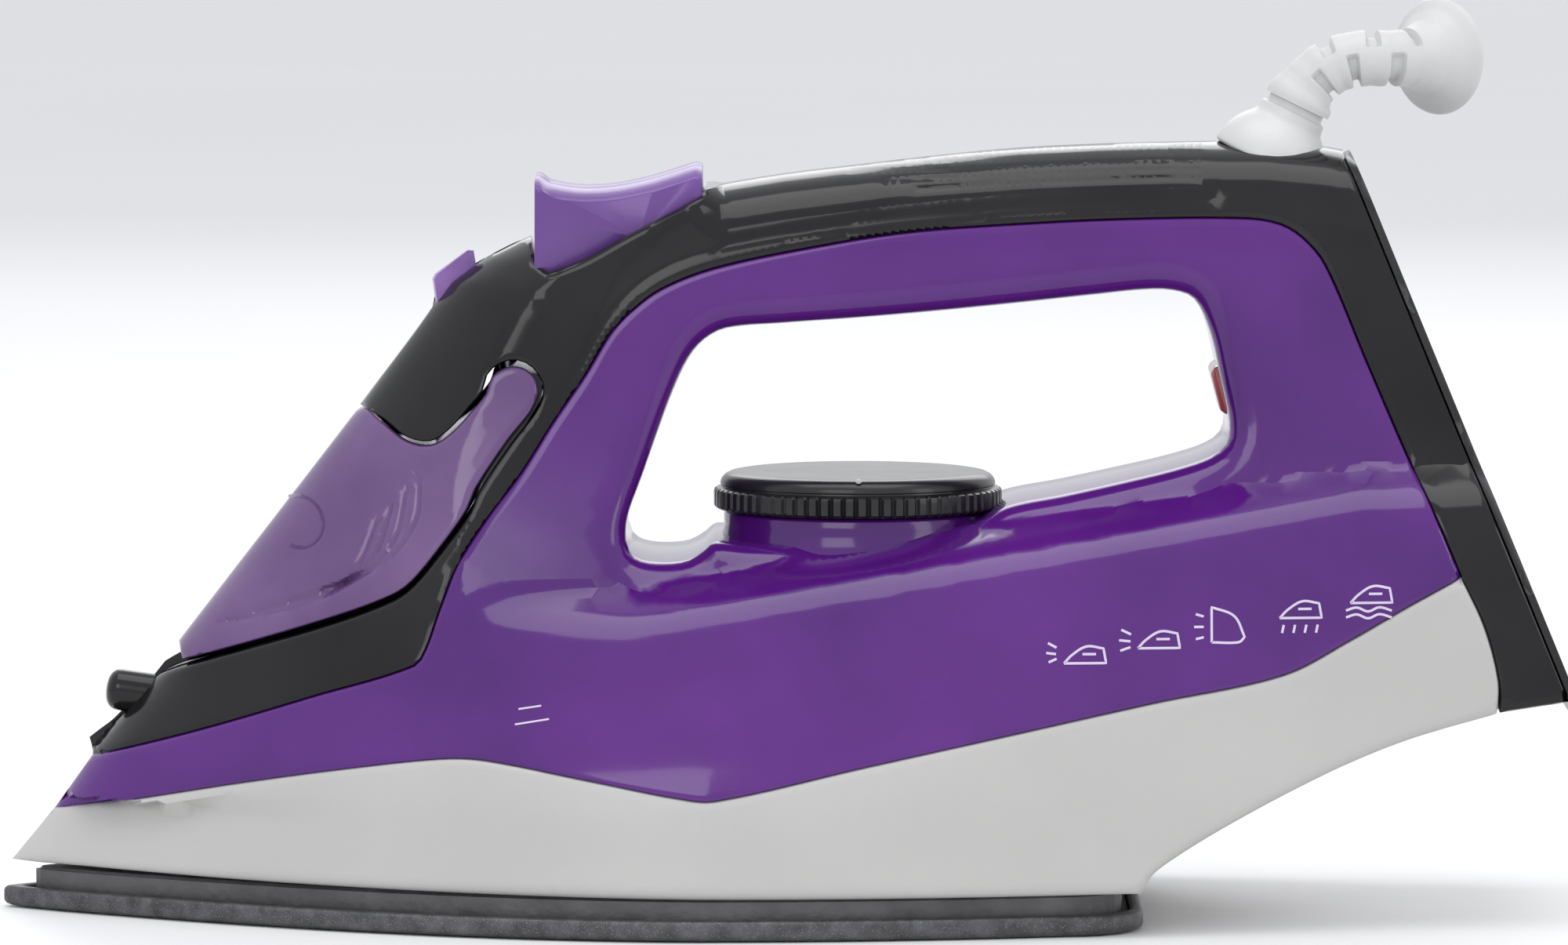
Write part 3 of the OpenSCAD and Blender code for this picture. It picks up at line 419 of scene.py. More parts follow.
# ---------------------------------------------------------------- camera
cam = bpy.data.cameras.new("Camera")
cam.lens, cam.sensor_width = 283.8, 36
cam.clip_end = 20
cob = bpy.data.objects.new("Camera", cam)
cob.location = (0.03822, -2.2, 0.254)
cob.rotation_euler = (Vector((0.03822, 0, 0.07763)) - Vector(cob.location)).to_track_quat("-Z", "Y").to_euler()
bpy.context.scene.collection.objects.link(cob)
bpy.context.scene.camera = cob

# ---------------------------------------------------------------- shells
ROW = [0.25, 0.7, 1.5]
CR = [0.12, 0.35, 0.7, 1.2, 1.9, 2.8, 4, 5.5, 7.2, 9.2]
GR = [0.12, 0.4, 0.9, 1.6, 2.5, 3.6, 5]

skirt_top = curve(SKIRT_TOP)
skirt_end = curve([SKIRT_TOP[-1]] + SKIRT_END)
skirt_low = curve([SKIRT_END[-1]] + SKIRT_LOW)
skirt_nose = curve([SKIRT_LOW[-1], (-92.2, 17.6)])
band = curve(BAND_LOW)
gap = curve(GAP, closed=True, corner=60)
tank_nose = curve([(-92.2, 17.6), (-85.2, 27.4)])
GROOVE = 0.45

def build(lines, name, mat, holes=(), rows=(), grooves=(), fillets=(), grid=2.4, shape=None, **kw):
    outer = np.concatenate([l[:-1] for l in lines])
    V, F = fill(outer, holes, rows, grid)
    h = half(V[:, 0], V[:, 1])
    for l in grooves:
        h = np.where(h > 0.6, fillet(h, dist(V, l), GROOVE * 1.6), h)
    for l, r, c in fillets:
        h = np.where(h > 0, np.maximum(fillet(h, dist(V, l, c), r), 0.05 * h), h)
    if shape is not None:
        h = shape(V, h)
    return V, F, np.clip(h, 0, None)

# white skirt
lines = [skirt_top, skirt_end, skirt_low, skirt_nose]
V, F, h = build(lines, "skirt", M["skirt"], rows=[(skirt_top, ROW, 0), (skirt_end, ROW, 0), (skirt_low, GR[:5], 0), (skirt_nose, CR[:6], 0)],
                grooves=[skirt_top, skirt_end], fillets=[(skirt_low, 1.6, 0)])
skirt = lens("skirt_shell", V, F, h, M["skirt"])
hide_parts("heat_shield_skirt")

# tank, with the finger gap through it
back = skirt_top[::-1]
lines = [skirt_top, band[::-1], tank_nose[::-1]]
V, F, h = build(lines, "tank", M["tank"], holes=[gap], rows=[(skirt_top, ROW, 0), (band, ROW, 0), (gap, GR, 1), (tank_nose, CR[:6], 0)],
                grooves=[skirt_top, band], fillets=[(gap, 4.6, 1)], grid=2.1)
tank = lens("tank_shell", V, F, h, M["tank"])
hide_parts("water_tank")

# flared neck under the dial
prof = [(0, 57), (30, 57), (33.2, 58.6), (31.2, 60.4), (28.6, 61.7), (26.4, 63.2), (25, 65), (24.2, 67), (23.9, 69), (23.9, 70.6), (23.5, 71.1), (22.6, 71.2), (0, 71.2)]
def neck_r(r, z, a):
    return r
Vn, Fn = lathe([(max(r, 0.01), z) for r, z in prof], 96, (51.4, 0, 0))
neck = finish_mesh("dial_neck", Vn, Fn, M["tank"], angle=50)
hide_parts("water_tank")

# black cover: one long strip over nose, handle and heel
cov_nose = curve([(-85.2, 27.4), (-86.0, 30.2), (-84.2, 31.6), (-81.6, 33.6), (-76.6, 38.9)], step=0.8, corner=60)
recess = curve([(-76.6, 38.9), (-73, 41.9), (-66.2, 44.5), (-42.6, 52.1), (-31.1, 56.6), (-27.3, 59.3), (-21.6, 66.2), (-17.2, 72.4), (-15.8, 75.9),
                (-10.1, 84.3), (-6, 89.5), (-4.6, 92.5), (-4.6, 95), (-6.3, 97.6), (-9, 98.9), (-12, 98.4), (-14.4, 96.2), (-15.2, 93.4), (-17.2, 91), (-21, 86.7), (-24.4, 84.5),
                (-28.8, 85.1), (-33, 88), (-37.4, 89.9)], corner=75)
front = curve([(-37.4, 89.9), (-24.4, 107.4), (-24.0, 109.6), (-19.0, 113.7), (-11, 118.2), (-6.8, 120.0)], step=1.2, corner=50)
seat = curve([(-6.8, 120.0), (-6.2, 116), (-3.5, 114.4), (2.5, 116.6), (10.6, 121.0), (18.6, 125.2), (24.4, 128.2)], corner=50)
top = curve([(24.4, 128.2)] + TOP)
heel = np.array([TOP[-1], spine(0.004, 1.45)])
spn = curve([spine(0.004, 1.45), spine(1, 1.45)], step=2.5)
foot = curve([spine(1, 1.45), (164.3, 37.9), (164.1, 43.4), (161.6, 53), (157.5, 61.6)], corner=50)
cband = band[::-1]
lines = [cov_nose, recess, front, seat, top, heel, spn, foot, cband]
CREASE = curve([(-20, 62.5), (-12, 74.5), (-4, 87), (2, 97.5), (7, 106.5), (12, 112.5), (20, 117), (30, 119.6), (44, 122), (60, 124.2), (80, 125.8), (100, 126.9), (114, 127.2)])
RIBS = [curve([(44 + 6 * k, 133.3 - 1.9 * k + 0.5 * k), (75, 134.0 - 1.35 * k), (105, 135.2 - 1.35 * k), (112, 135.1 - 1.35 * k)]) for k in range(4)]
def cover_shape(V, h):
    d = dist(V, CREASE)
    side = np.exp(-(d / 1.5) ** 2) * 0.4
    h = h - side * (h > 4)
    for r in RIBS:
        h = h - np.exp(-(dist(V, r) / 0.6) ** 2) * 0.5 * (h > 3)
    return h
V, F, h = build(lines, "cover", M["black"], rows=[(cov_nose, CR[:5], 0), (recess, ROW, 0), (front, CR, 0), (seat, ROW, 0), (top, CR, 0), (spn, ROW, 0), (foot, ROW, 0), (band, ROW, 0),
                (CREASE, [0.01, 0.6, 1.2, 2.0], 0)] + [(r, [0.01, 0.45, 0.9], 0) for r in RIBS],
                grooves=[band, spn, foot, recess], fillets=[(seat, 1.0, 0)], grid=2.2, shape=cover_shape)
cover = lens("cover_shell", V, F, h, M["black"])
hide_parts("top_cover")

# floor of the recess under the door
fl = np.concatenate([curve([(-76.4, 38.9), (-72.4, 43.9)])[:-1], curve([(-72.4, 43.9), (-66, 48.2), (-37.2, 85.4)])[:-1], curve([(-37.2, 85.4), (-30, 84.2), (-24, 83), (-14, 91.6), (-10, 97.8), (-5, 96), (-4.9, 92), (-15.6, 75.9), (-21.4, 66.4),
     (-27.2, 59.6), (-31.1, 56.8), (-42.6, 52.3), (-66.2, 44.7), (-73, 41.9), (-76.4, 38.9)])[:-1]])
V, F = fill(fl, (), [(fl, [0.6, 1.5, 3], 1)], 2.4)
hf = np.clip(np.minimum(h_up(V[:, 0] - 3.4, V[:, 1]) - 2.6, 40), 0.5, None)
floor_ = lens("recess_floor", V, F, hf, M["black"])
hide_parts("top_cover")

# door: a thin curved shell
door_front, door_top, door_back = curve(DOOR_FRONT), curve([DOOR_FRONT[-1]] + DOOR_TOP, step=1.0, corner=80), curve([DOOR_TOP[-1]] + DOOR_BACK + [DOOR_FRONT[0]], corner=60)
ARCS = [curve([(-62 + 6.2 * k, 51.5 + 2.2 * k), (-46 + 4.6 * k, 55.6 + 2.6 * k), (-37.6 + 3.6 * k, 61.5 + 3.0 * k), (-33.8 + 2.6 * k, 70 + 2.6 * k)]) for k in range(4)]
def door_shape(V, h):
    for a in ARCS:
        h = h - np.exp(-(dist(V, a) / 0.5) ** 2) * 0.55 * (h > 2)
    return h
V, F, h = build([door_front, door_top, door_back], "door", M["tank_light"], rows=[(door_front, CR[:8], 0), (door_top, ROW, 0), (door_back, ROW, 0)] + [(a, [0.01, 0.4, 0.85], 0) for a in ARCS],
                grooves=[door_top, door_back], grid=2.0, shape=door_shape)
hin = np.minimum(pchip([p[0] for p in FRAME], [p[1] for p in FRAME], V[:, 1]), np.sqrt(np.clip(17 * (V[:, 0] - 2.6 - nose_x(V[:, 1])), 0, None))) - 1.8
door = shell("door_shell", V, F, h, hin, M["tank_light"], body="door")
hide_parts("filler_door")

# rear cover of the heel: a flat band with two screw holes
rc = [curve([spine(0, -0.0), spine(1, -0.0)], step=2.5), curve([spine(1, 0), (176.4, 38.1), spine(1, 1.3)]), curve([spine(1, 1.3), spine(0.004, 1.3)], step=2.5), np.array([spine(0.004, 1.3), spine(0, 0)])]
V, F, h = build(rc, "rear", M["rear"], rows=[], fillets=[(rc[0], 0.9, 0)], grid=4, grooves=[])
h = np.clip(np.maximum(h, 2.0) - 0.25, 0.3, None)
rear = lens("rear_cover", V, F, h, M["rear"], angle=50)
def cutter(name, mat4, r, hh, seg=40):
    me = bpy.data.meshes.new(name)
    bm = bmesh.new()
    bmesh.ops.create_cone(bm, cap_ends=True, segments=seg, radius1=r * MM, radius2=r * MM, depth=hh * MM, matrix=mat4)
    bm.to_mesh(me)
    bm.free()
    ob = bpy.data.objects.new(name, me)
    bpy.context.scene.collection.objects.link(ob)
    return ob
def subtract(target, cutters):
    for c in cutters:
        md = target.modifiers.new("cut", "BOOLEAN")
        md.operation, md.object, md.solver = "DIFFERENCE", c, "EXACT"
    dg = bpy.context.evaluated_depsgraph_get()
    me = bpy.data.meshes.new_from_object(target.evaluated_get(dg))
    target.modifiers.clear()
    old = target.data
    target.data = me
    me.name = target.name
    bpy.data.meshes.remove(old)
    for c in cutters:
        d = c.data
        bpy.data.objects.remove(c)
        bpy.data.meshes.remove(d)
out3 = Vector((SP_OUT[0], 0, SP_OUT[1]))
cuts = []
for t in (0.14, 0.9):
    p = spine(t, 0)
    cuts.append(cutter("c", Matrix.Translation((p[0] * MM, 0, p[1] * MM)) @ out3.to_track_quat("Z", "Y").to_matrix().to_4x4(), 1.7, 12))
subtract(rear, cuts)
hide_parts("handle_rear_cover")

# soleplate: pressed tray with a rolled rim
def sole_half(x, d):
    a = (x + 101.4 - 1.6 * d) / 126
    fore = np.sqrt(((SOLE_W - d) * taper(a)) ** 2 + 2.4 * np.clip(x + 101.4 - 1.6 * d, 0, 12))
    return np.where(x < 25, np.minimum(fore, SOLE_W - d + 0.25), (SOLE_W - d) * (1 - 0.21 * ((x - 25) / 75) ** 2))
def sole_loop(d):
    x0 = -101.4 + 1.6 * d
    xs = x0 + (np.linspace(0, 1, 70)[1:] ** 1.7) * (88 - 0.4 * d - x0)
    near = [(x, -float(sole_half(np.array([x]), d)[0])) for x in xs]
    h88 = float(sole_half(np.array([88.0]), d)[0])
    near += [(88 - 0.4 * d + (13.5 - 0.6 * d) * math.sin(math.radians(a)), -(h88 - 13.5 * (1 - math.cos(math.radians(a))))) for a in range(6, 91, 6)]
    x1, y1 = near[-1]
    near += [(x1, y1 * k) for k in (0.85, 0.7, 0.55, 0.4, 0.25, 0.1)]
    return [(x0, 0.0)] + near + [(x, -y) for x, y in near[::-1]]
def stack_loops(name, levels, mat, **kw):
    V, F, n = [], [], None
    for d, z in levels:
        l = sole_loop(d)
        n = len(l)
        V += [(x * MM, y * MM, z * MM) for x, y in l]
    for j in range(len(levels) - 1):
        for i in range(n):
            k = (i + 1) % n
            F.append((j * n + i, j * n + k, (j + 1) * n + k, (j + 1) * n + i))
    F.append(tuple(range(n))[::-1])
    F.append(tuple((len(levels) - 1) * n + i for i in range(n)))
    return finish_mesh(name, V, F, mat, **kw)
sole = stack_loops("soleplate_tray", [(3.0, 0.0), (1.6, 0.0), (0.75, 0.12), (0.25, 0.45), (0.02, 0.95), (0.0, 1.5), (0.0, 2.7), (0.1, 3.15), (0.4, 3.5), (0.9, 3.6), (1.6, 3.6), (2.0, 3.45), (2.2, 3.1), (2.25, 1.3)], M["rim"], angle=45)
sole.data.materials.append(M["sole"])
for p in sole.data.polygons:
    if p.center.z < 0.0002 and p.normal.z < -0.5:
        p.material_index = 1
cuts = []
for m in (-1, 1):
    for i in range(9):
        cuts.append((-62 + 13 * i, m * (9 + 24 * float(taper(np.array(i / 9.0))))))
    for i in range(4):
        cuts.append((48 + 9 * i, m * (32 - 4 * i)))
for x in (-78, -70, -50, -38):
    cuts.append((x, 0))
holes = bpy.data.meshes.new("holes")
bmh = bmesh.new()
for x, y in cuts:
    bmesh.ops.create_cone(bmh, cap_ends=True, segments=20, radius1=2.0 * MM, radius2=1.6 * MM, depth=4 * MM, matrix=Matrix.Translation((x * MM, y * MM, 0.0005)))
bmh.to_mesh(holes)
bmh.free()
hob = bpy.data.objects.new("holes", holes)
bpy.context.scene.collection.objects.link(hob)
subtract(sole, [hob])
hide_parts("soleplate")
# dark gasket between the tray and the skirt
gask = stack_loops("sole_gasket", [(6.5, 3.0), (4.2, 3.1), (3.9, 3.9), (3.7, 5.0), (3.9, 6.4), (4.3, 7.1), (7.0, 7.3)], M["cast"], angle=45)

# thermostat dial: knurled ring with a domed, dished top
def knurl(r, z, a):
    if r > 24.6 and 71.5 < z < 75.0:
        t = (a * 72 / (2 * math.pi)) % 1.0
        return r - (0.0 if t < 0.56 else 0.62 * math.sin((t - 0.56) / 0.44 * math.pi) ** 0.6)
    return r
prof = [(0.01, 71.4), (23.8, 71.4), (25.0, 71.42), (25.3, 71.6), (25.65, 71.9), (25.7, 72.3), (25.7, 73.4), (25.7, 74.4), (25.6, 74.85), (25.2, 75.1), (24.7, 75.2), (24.45, 75.35), (24.4, 75.6), (24.55, 75.8),
        (24.5, 76.3), (24.2, 76.9), (23.7, 77.4), (22.9, 77.8), (21.9, 77.97), (20.8, 77.9), (19, 77.75), (14, 77.5), (8, 77.4), (0.01, 77.38)]
Vd, Fd = lathe(prof, 72 * 9, (51.4, 0, 0), radius=knurl)
dial = finish_mesh("dial_knob", Vd, Fd, M["dial"], angle=40, body="dial")
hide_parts("thermostat_dial")

# filed-down mark on the ring
mk = bpy.data.meshes.new("dial_mark")
bmk = bmesh.new()
bmesh.ops.create_cube(bmk, size=1.0, matrix=Matrix.Translation((51.4 * MM, -22.4 * MM, 77.85 * MM)) @ Matrix.Diagonal((0.0011, 0.0032, 0.0006, 1)))
bmesh.ops.bevel(bmk, geom=bmk.edges[:], offset=0.0002, segments=2, affect="EDGES")
bmk.to_mesh(mk)
bmk.free()
mark = bpy.data.objects.new("dial_mark", mk)
bpy.context.scene.collection.objects.link(mark)
mk.materials.append(M["mark"])
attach(mark, "dial")

# ---------------------------------------------------------------- cord guard
GB, BALL_R, TILT = Vector((124.4, 0, 132.6)), 10.4, math.radians(26)
B1, B2, FOOT = (13, math.radians(64)), (14, math.radians(47)), 13
ROT = Matrix.Rotation(TILT, 3, "Y")
def path_at(s):
    s = float(s)
    l1, l2 = B1[0] * B1[1], B2[0] * B2[1]
    if s <= 1:
        return Vector((0, 0, 12 + s)), Vector((1, 0, 0)), Vector((0, 1, 0))
    if s <= 1 + l1:
        a = (s - 1) / l1 * B1[1]
        return Vector((B1[0] * (1 - math.cos(a)), 0, FOOT + B1[0] * math.sin(a))), Vector((math.cos(a), 0, -math.sin(a))), Vector((0, 1, 0))
    a = B1[1]
    p = Vector((B1[0] * (1 - math.cos(a)), 0, FOOT + B1[0] * math.sin(a)))
    u, t = Vector((math.cos(a), 0, -math.sin(a))), Vector((math.sin(a), 0, math.cos(a)))
    k = min(1, (s - 1 - l1) / l2) * B2[1]
    over = max(0, s - 1 - l1 - l2)
    y = Vector((0, 1, 0))
    return p + B2[0] * (1 - math.cos(k)) * y + B2[0] * math.sin(k) * t + over * (math.sin(k) * y + math.cos(k) * t), u, math.cos(k) * y - math.sin(k) * t
LEN = 1 + B1[0] * B1[1] + B2[0] * B2[1] + 4.7
def wall_r(s):  # radius along the sleeve
    return float(np.interp(s, [0, 1.0, 1.8, 3.0, 4.0, 20, LEN - 9.5, LEN - 6.6, LEN - 4.2, LEN - 2, LEN - 0.7, LEN - 0.15, LEN], [6.05, 6.1, 5.9, 5.25, 5.02, 5.0, 5.1, 5.5, 6.5, 8.4, 10.1, 10.45, 10.4]))
SEG = 96
rings = []
ss = [float(q) for q in np.concatenate([np.arange(0, LEN - 9, 0.28), np.arange(LEN - 9, LEN, 0.32), [LEN]])]
for s in ss:
    rings.append((s, wall_r(s), True))
for s, r in ((LEN + 0.0, 9.95), (LEN - 0.5, 9.3), (LEN - 1.4, 8.0), (LEN - 2.8, 6.0), (LEN - 4.6, 4.6), (LEN - 7, 3.7), (LEN - 9, 3.62), (LEN - 12, 0.9)):
    rings.append((s, r, False))
Vg, Fg = [], []
for s, r, outer in rings:
    p, u, v = path_at(s)
    for i in range(SEG):
        a = 2 * math.pi * i / SEG
        rr = r
        if outer and 4.6 < s < LEN - 8.2:
            # slots half way round, left and right in turn, and a waist between the ribs
            ph = (s - 4.6) / 3.4
            k = int(ph)
            f = ph - k
            sidea = (a + (0.35 if k % 2 else 0.35 + math.pi)) % (2 * math.pi)
            win = max(0.0, math.cos(sidea - math.pi)) if True else 0
            depth = 1.25 * min(1.0, max(0.0, (0.30 - abs(f - 0.5)) / 0.07)) * min(1.0, max(0.0, (win - 0.12) / 0.12))
            rr = r - depth - 0.12 * (1 - math.cos(2 * math.pi * f)) / 2
        Vg.append(p + rr * (math.cos(a) * u + math.sin(a) * v))
for j in range(len(rings) - 1):
    for i in range(SEG):
        k = (i + 1) % SEG
        Fg.append((j * SEG + i, j * SEG + k, (j + 1) * SEG + k, (j + 1) * SEG + i))
Fg.append(tuple(range(SEG))[::-1])
Fg.append(tuple((len(rings) - 1) * SEG + i for i in range(SEG)))
Vg = [(ROT @ p + GB) * MM for p in Vg]
guard = finish_mesh("cord_sleeve", Vg, Fg, M["sleeve"], angle=35, body="guard")
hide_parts("cord_guard")
# domed ball
prof = [(0.01, 7.4), (6.5, 6.4), (8.5, 3.4), (8.75, 0.8), (9.2, 0.25), (9.9, 0.2), (10.3, 0.5)] + [(10.4 * math.cos(math.radians(a)), 10.4 * math.sin(math.radians(a))) for a in range(4, 52, 3)] + \
       [(6.35, 8.4), (6.2, 8.75), (6.1, 9.3), (6.05, 10.2), (5.7, 10.5), (5.3, 10.65), (5.2, 11.1), (5.2, 11.95), (0.01, 11.95)]
Vb, Fb = lathe(prof, 96, radius=None)
Vb = [(ROT @ (Vector(v) / MM) + GB) * MM for v in Vb]
ball = finish_mesh("cord_dome", Vb, Fb, M["white"], angle=35, body="guard")
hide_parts("cord_ball")

# ---------------------------------------------------------------- trigger keys
KEY_TOP = [(-6.0, 131.0), (-5.2, 131.0), (-3.6, 129.9), (-0.9, 129.2), (3, 128.8), (8, 129.1), (14, 130.3), (19, 131.8), (22.6, 132.9)]
def key(name, m, node, slotname):
    outline = [np.array(p) for p in curve([(-6.05, 114.2)] + KEY_TOP + [(23.7, 132.6), (23.8, 127.0), (18.6, 123.6), (10.6, 119.6), (2.5, 115.6), (-3.5, 113.0), (-6.05, 114.2)], step=0.9, corner=50)[:-1]]
    c = np.mean(outline, axis=0)
    n = len(outline)
    ys = [0.42, 0.5, 0.75, 1.2, 2.2, 4.5, 7, 9.3, 11, 12.1, 12.8, 13.2, 13.38]
    V, F = [], []
    for y in ys:
        e = min(y - 0.42, 13.4 - y)
        inset = 0.7 - math.sqrt(max(0, 0.7 ** 2 - max(0, 0.7 - e) ** 2))
        drop = 1.9 * max(0, (y - 6.5) / 6.9) ** 2 + 0.35 * max(0.0, 1 - y / 3.0)
        for p in outline:
            q = p + (c - p) / np.linalg.norm(c - p) * inset
            w = max(0.0, min(1.0, (q[1] - 118) / 11))
            V.append((q[0] * MM, m * y * MM, (q[1] - drop * w) * MM))
    for j in range(len(ys) - 1):
        for i in range(n):
            k = (i + 1) % n
            F.append((j * n + i, j * n + k, (j + 1) * n + k, (j + 1) * n + i))
    F.append(tuple(range(n)))
    F.append(tuple((len(ys) - 1) * n + i for i in range(n)))
    ob = finish_mesh(name, V, F, M["button"], angle=40, body=node[:5] + "_key")
    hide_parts(node)
    return ob
key("spray_trigger", 1, "spray_button", "button_violet")
key("steam_trigger", -1, "steam_button", "button_violet")

# ---------------------------------------------------------------- lamp lens and pointer gem
def bevelled(name, pts, mat, body=BODY, off=0.5, seg=3, **kw):
    """convex hull of the points, with rounded edges"""
    me = bpy.data.meshes.new(name)
    bm = bmesh.new()
    for p in pts:
        bm.verts.new(Vector(p) * MM)
    r = bmesh.ops.convex_hull(bm, input=bm.verts)
    bmesh.ops.dissolve_limit(bm, angle_limit=0.02, verts=bm.verts, edges=bm.edges)
    bmesh.ops.bevel(bm, geom=bm.edges[:], offset=off * MM, segments=seg, affect="EDGES", profile=0.5)
    bmesh.ops.recalc_face_normals(bm, faces=bm.faces)
    bm.to_mesh(me)
    bm.free()
    for p in me.polygons:
        p.use_smooth = True
    me.set_sharp_from_angle(angle=math.radians(50))
    ob = bpy.data.objects.new(name, me)
    bpy.context.scene.collection.objects.link(ob)
    me.materials.append(mat)
    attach(ob, body)
    return ob
rot = Matrix.Rotation(math.radians(-14.5), 3, "Y")
cl = Vector((117.2, 0, 93.2))
pts = [cl + rot @ Vector((x, y, z)) for x, y, z in [(-2.4, -7.6, -3.4), (-2.4, 7.6, -3.4), (-2.4, -7.6, 3.4), (-2.4, 7.6, 3.4), (-1.4, -9, -4.4), (-1.4, 9, -4.4), (-1.4, -9, 4.4), (-1.4, 9, 4.4), (2.4, -9, -4.4), (2.4, 9, -4.4), (2.4, -9, 4.4), (2.4, 9, 4.4)]]
ln = bevelled("lamp_lens", pts, M["lens"], off=0.45)
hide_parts("pilot_lens")
rotg = Matrix.Rotation(math.radians(-18), 3, "X")
pts = []
for k, zz in ((1.0, -1.5), (1.0, 0.9), (0.72, 1.45)):
    pts += [Vector((84.8, -15.6, 0)) + rotg @ Vector((x * k, y * k, 74 + zz)) for x, y in [(-3.6, 0), (-2.2, -2.1), (2.2, -2.1), (3.6, 0), (2.2, 2.1), (-2.2, 2.1)]]
gem = bevelled("pointer_gem", pts, M["gem"], off=0.18, seg=2)
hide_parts("dial_pointer")

# ---------------------------------------------------------------- printed marks on the tank's side
def stroke(points, w, name, mat, lift=0.06, side=-1):
    """a thin ribbon that lies on the side of the body, points in side view"""
    P = curve(points, step=0.45, corner=70)
    t = np.gradient(P, axis=0)
    t /= np.linalg.norm(t, axis=1)[:, None] + 1e-9
    nr = np.stack((-t[:, 1], t[:, 0]), 1)
    V = []
    for q in (P - nr * w / 2, P + nr * w / 2):
        y = half(q[:, 0], q[:, 1]) + lift
        V += [(x * MM, side * yy * MM, z * MM) for (x, z), yy in zip(q, y)]
    for q in (P - nr * w / 2, P + nr * w / 2):
        y = half(q[:, 0], q[:, 1]) - 0.1
        V += [(x * MM, side * yy * MM, z * MM) for (x, z), yy in zip(q, y)]
    n = len(P)
    F = []
    for i in range(n - 1):
        F += [(i, i + 1, n + i + 1, n + i), (2 * n + i, 3 * n + i, 3 * n + i + 1, 2 * n + i + 1), (i, 2 * n + i, 2 * n + i + 1, i + 1), (n + i, n + i + 1, 3 * n + i + 1, 3 * n + i)]
    F += [(0, n, 3 * n, 2 * n), (n - 1, 3 * n - 1, 4 * n - 1, 2 * n - 1)]
    return V, F
def group(name, strokes, mat, w=0.5, body=BODY):
    V, F = [], []
    for s in strokes:
        v, f = stroke(s, w, name, mat)
        k = len(V)
        V += v
        F += [tuple(i + k for i in g) for g in f]
    ob = finish_mesh(name, V, F, mat, angle=60, weld=1e-9, body=body)
    return ob
def iron(x, z, k=1.0):
    return [[(x - 5 * k, z), (x + 5 * k, z), (x + 4.4 * k, z + 3.4 * k), (x + 0.4 * k, z + 3.9 * k), (x - 3 * k, z + 2.0 * k), (x - 5 * k, z)], [(x - 0.6 * k, z + 2.1 * k), (x + 2.6 * k, z + 2.1 * k)]]
marks = []
def place(x, z, items):
    for s in items:
        marks.append([(a + x, b + z) for a, b in s])
for kx, kz in ((91, 47.5), (104, 50.0), (129, 55.0), (141.5, 57.5)):
    place(kx, kz, iron(0, 0, 0.74))
place(91, 47.5, [[(-6.5, 3.5), (-5, 2.7)], [(-6.8, 1.8), (-5.1, 1.6)], [(-6.4, 0.2), (-5, 0.8)]])
place(104, 50.0, [[(-6.6, 3.2), (-4.9, 2.4)], [(-7.0, 1.4), (-5, 1.2)], [(-6.8, -0.4), (-5, 0.2)]])
place(129, 55.0, [[(-3 + 2 * i, -1.2), (-3.3 + 2 * i, -2.6)] for i in range(4)])
place(141.5, 57.5, [[(-4.5, -1.3 - j), (-2.6, -0.8 - j), (-0.6, -1.5 - j), (1.4, -0.8 - j), (3.6, -1.4 - j)] for j in (0, 1.2)])
place(116.5, 52.4, [[(-3.2, -1.5), (-3.2, 4.6), (0.8, 3.0), (2.6, -0.6), (1.6, -1.5), (-3.2, -1.5)], [(-6, 3.4), (-4.6, 3.0)], [(-6.3, 1.2), (-4.6, 1.2)], [(-6, -0.9), (-4.6, -0.6)]])
group("side_marks", marks, M["print"], 0.42)
# level line of the water
lv = group("level_mark", [[(-9, 36.6), (-3, 37.7)], [(-8.4, 39.2), (-4.4, 39.9)]], M["print"], 0.3)

# ring on the door
group("door_ring", [[(-48.0 + 4.3 * math.cos(a), 69.6 + 4.3 * math.sin(a)) for a in np.linspace(-2.0, 2.1, 20)]], M["gem"], 0.6, body="door")

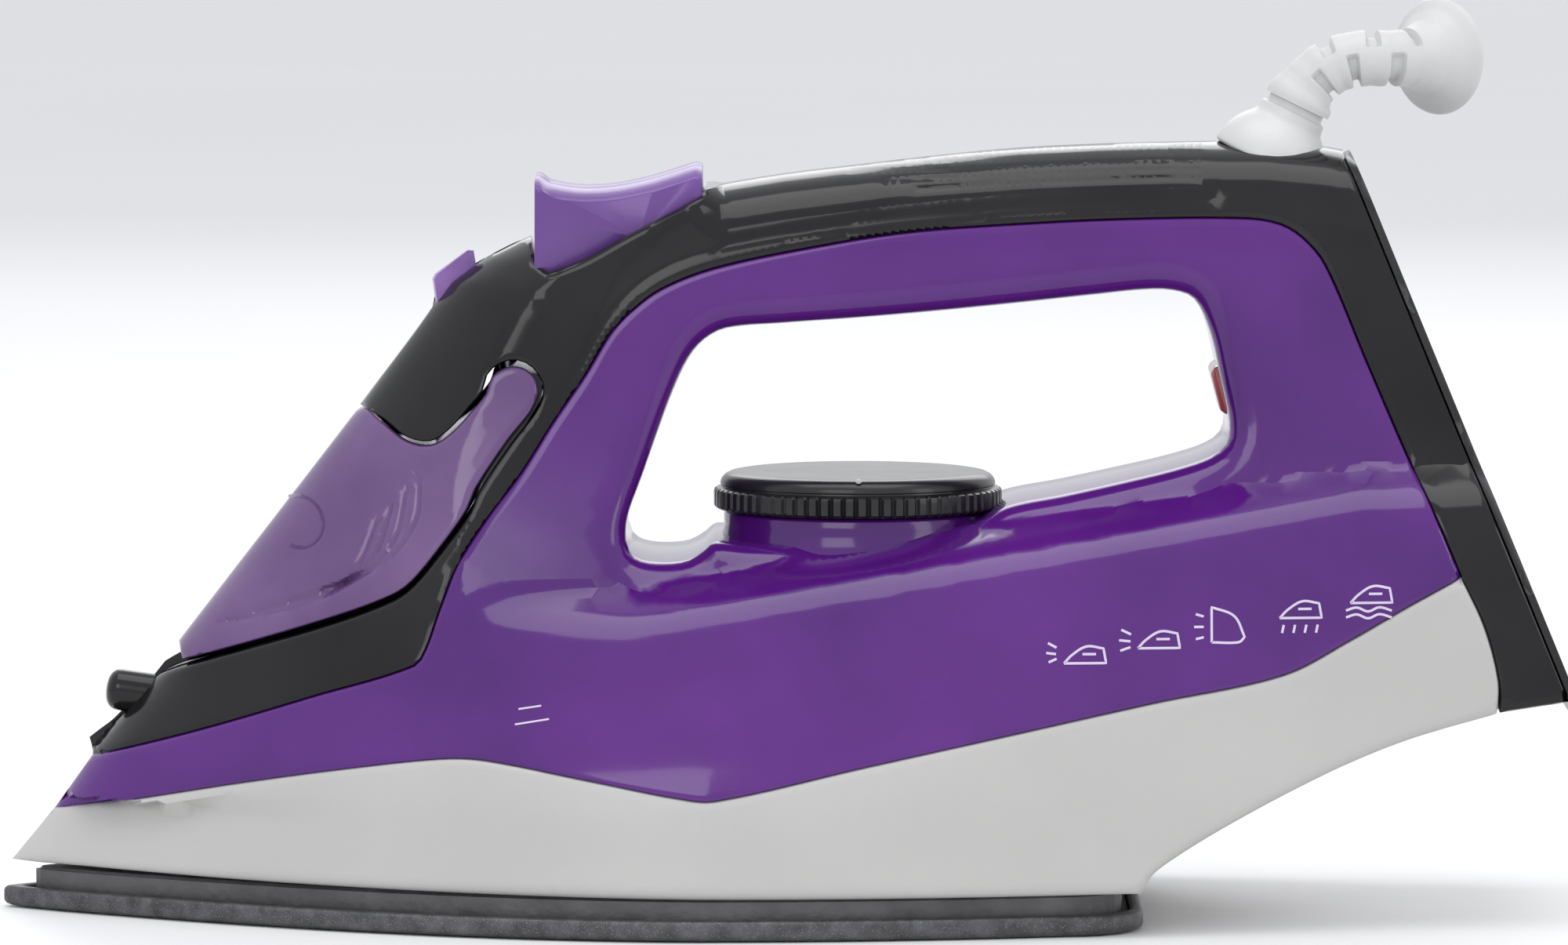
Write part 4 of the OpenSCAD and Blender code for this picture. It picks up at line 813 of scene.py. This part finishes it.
# ---------------------------------------------------------------- carried-over parts
CADMAT = {"heater_casting": "cast", "heating_element": "steel", "steam_chamber_lid": "cast", "thermostat": "ceramic", "thermal_fuse": "ceramic", "tank_boss_seal": "rubber",
          "door_pins": "steel", "filler_seal": "rubber", "spray_nozzle": "black", "spray_hose": "rubber", "spray_pump": "white", "steam_pump": "white", "spray_plunger": "white",
          "steam_plunger": "white", "spray_spring": "steel", "steam_spring": "steel", "steam_lever": "lever", "valve_rod": "steel", "valve_seat": "rubber", "dial_shaft": "steel",
          "neon_lamp": "lens", "terminal_block": "white", "lamp_leads": "lead", "body_screws": "steel", "cover_screws": "steel", "cord_collar": "white", "swivel_ring": "white"}
for node, mname in CADMAT.items():
    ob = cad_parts[node]
    for sl in ob.material_slots:
        sl.material = M[mname]

# ---------------------------------------------------------------- stage and light
bpy.ops.mesh.primitive_plane_add(size=14, location=(0, 0, -0.0002))
fl_ = bpy.context.object
fl_.name = "floor"
fm = material("floor_pale", (0.80, 0.80, 0.80), 0.55, var=0.01, scale=3, bump=0.0)
fl_.data.materials.append(fm)
w = bpy.data.worlds.new("World")
bpy.context.scene.world = w
w.use_nodes = True
w.node_tree.nodes["Background"].inputs["Color"].default_value = (0.95, 0.96, 1.0, 1)
w.node_tree.nodes["Background"].inputs["Strength"].default_value = 0.92
def area(name, loc, target, size, power, sy=None):
    d = bpy.data.lights.new(name, "AREA")
    d.shape = "RECTANGLE"
    d.size, d.size_y = size, sy or size
    d.energy = power
    o = bpy.data.objects.new(name, d)
    o.location = loc
    o.rotation_euler = (Vector(target) - Vector(loc)).to_track_quat("-Z", "Y").to_euler()
    bpy.context.scene.collection.objects.link(o)
area("top", (0.0, -0.15, 1.3), (0.03, 0, 0.05), 1.3, 7, 0.9)
area("front", (-0.5, -1.7, 0.9), (0.03, 0, 0.07), 0.9, 4.5, 0.7)
area("side_r", (1.5, -0.9, 0.6), (0.05, 0, 0.07), 0.5, 3, 1.0)
area("back", (0.2, 1.6, 0.9), (0.03, 0, 0.07), 1.2, 5, 0.8)
bpy.context.scene.view_settings.view_transform = "Standard"
bpy.context.scene.view_settings.look = "None"
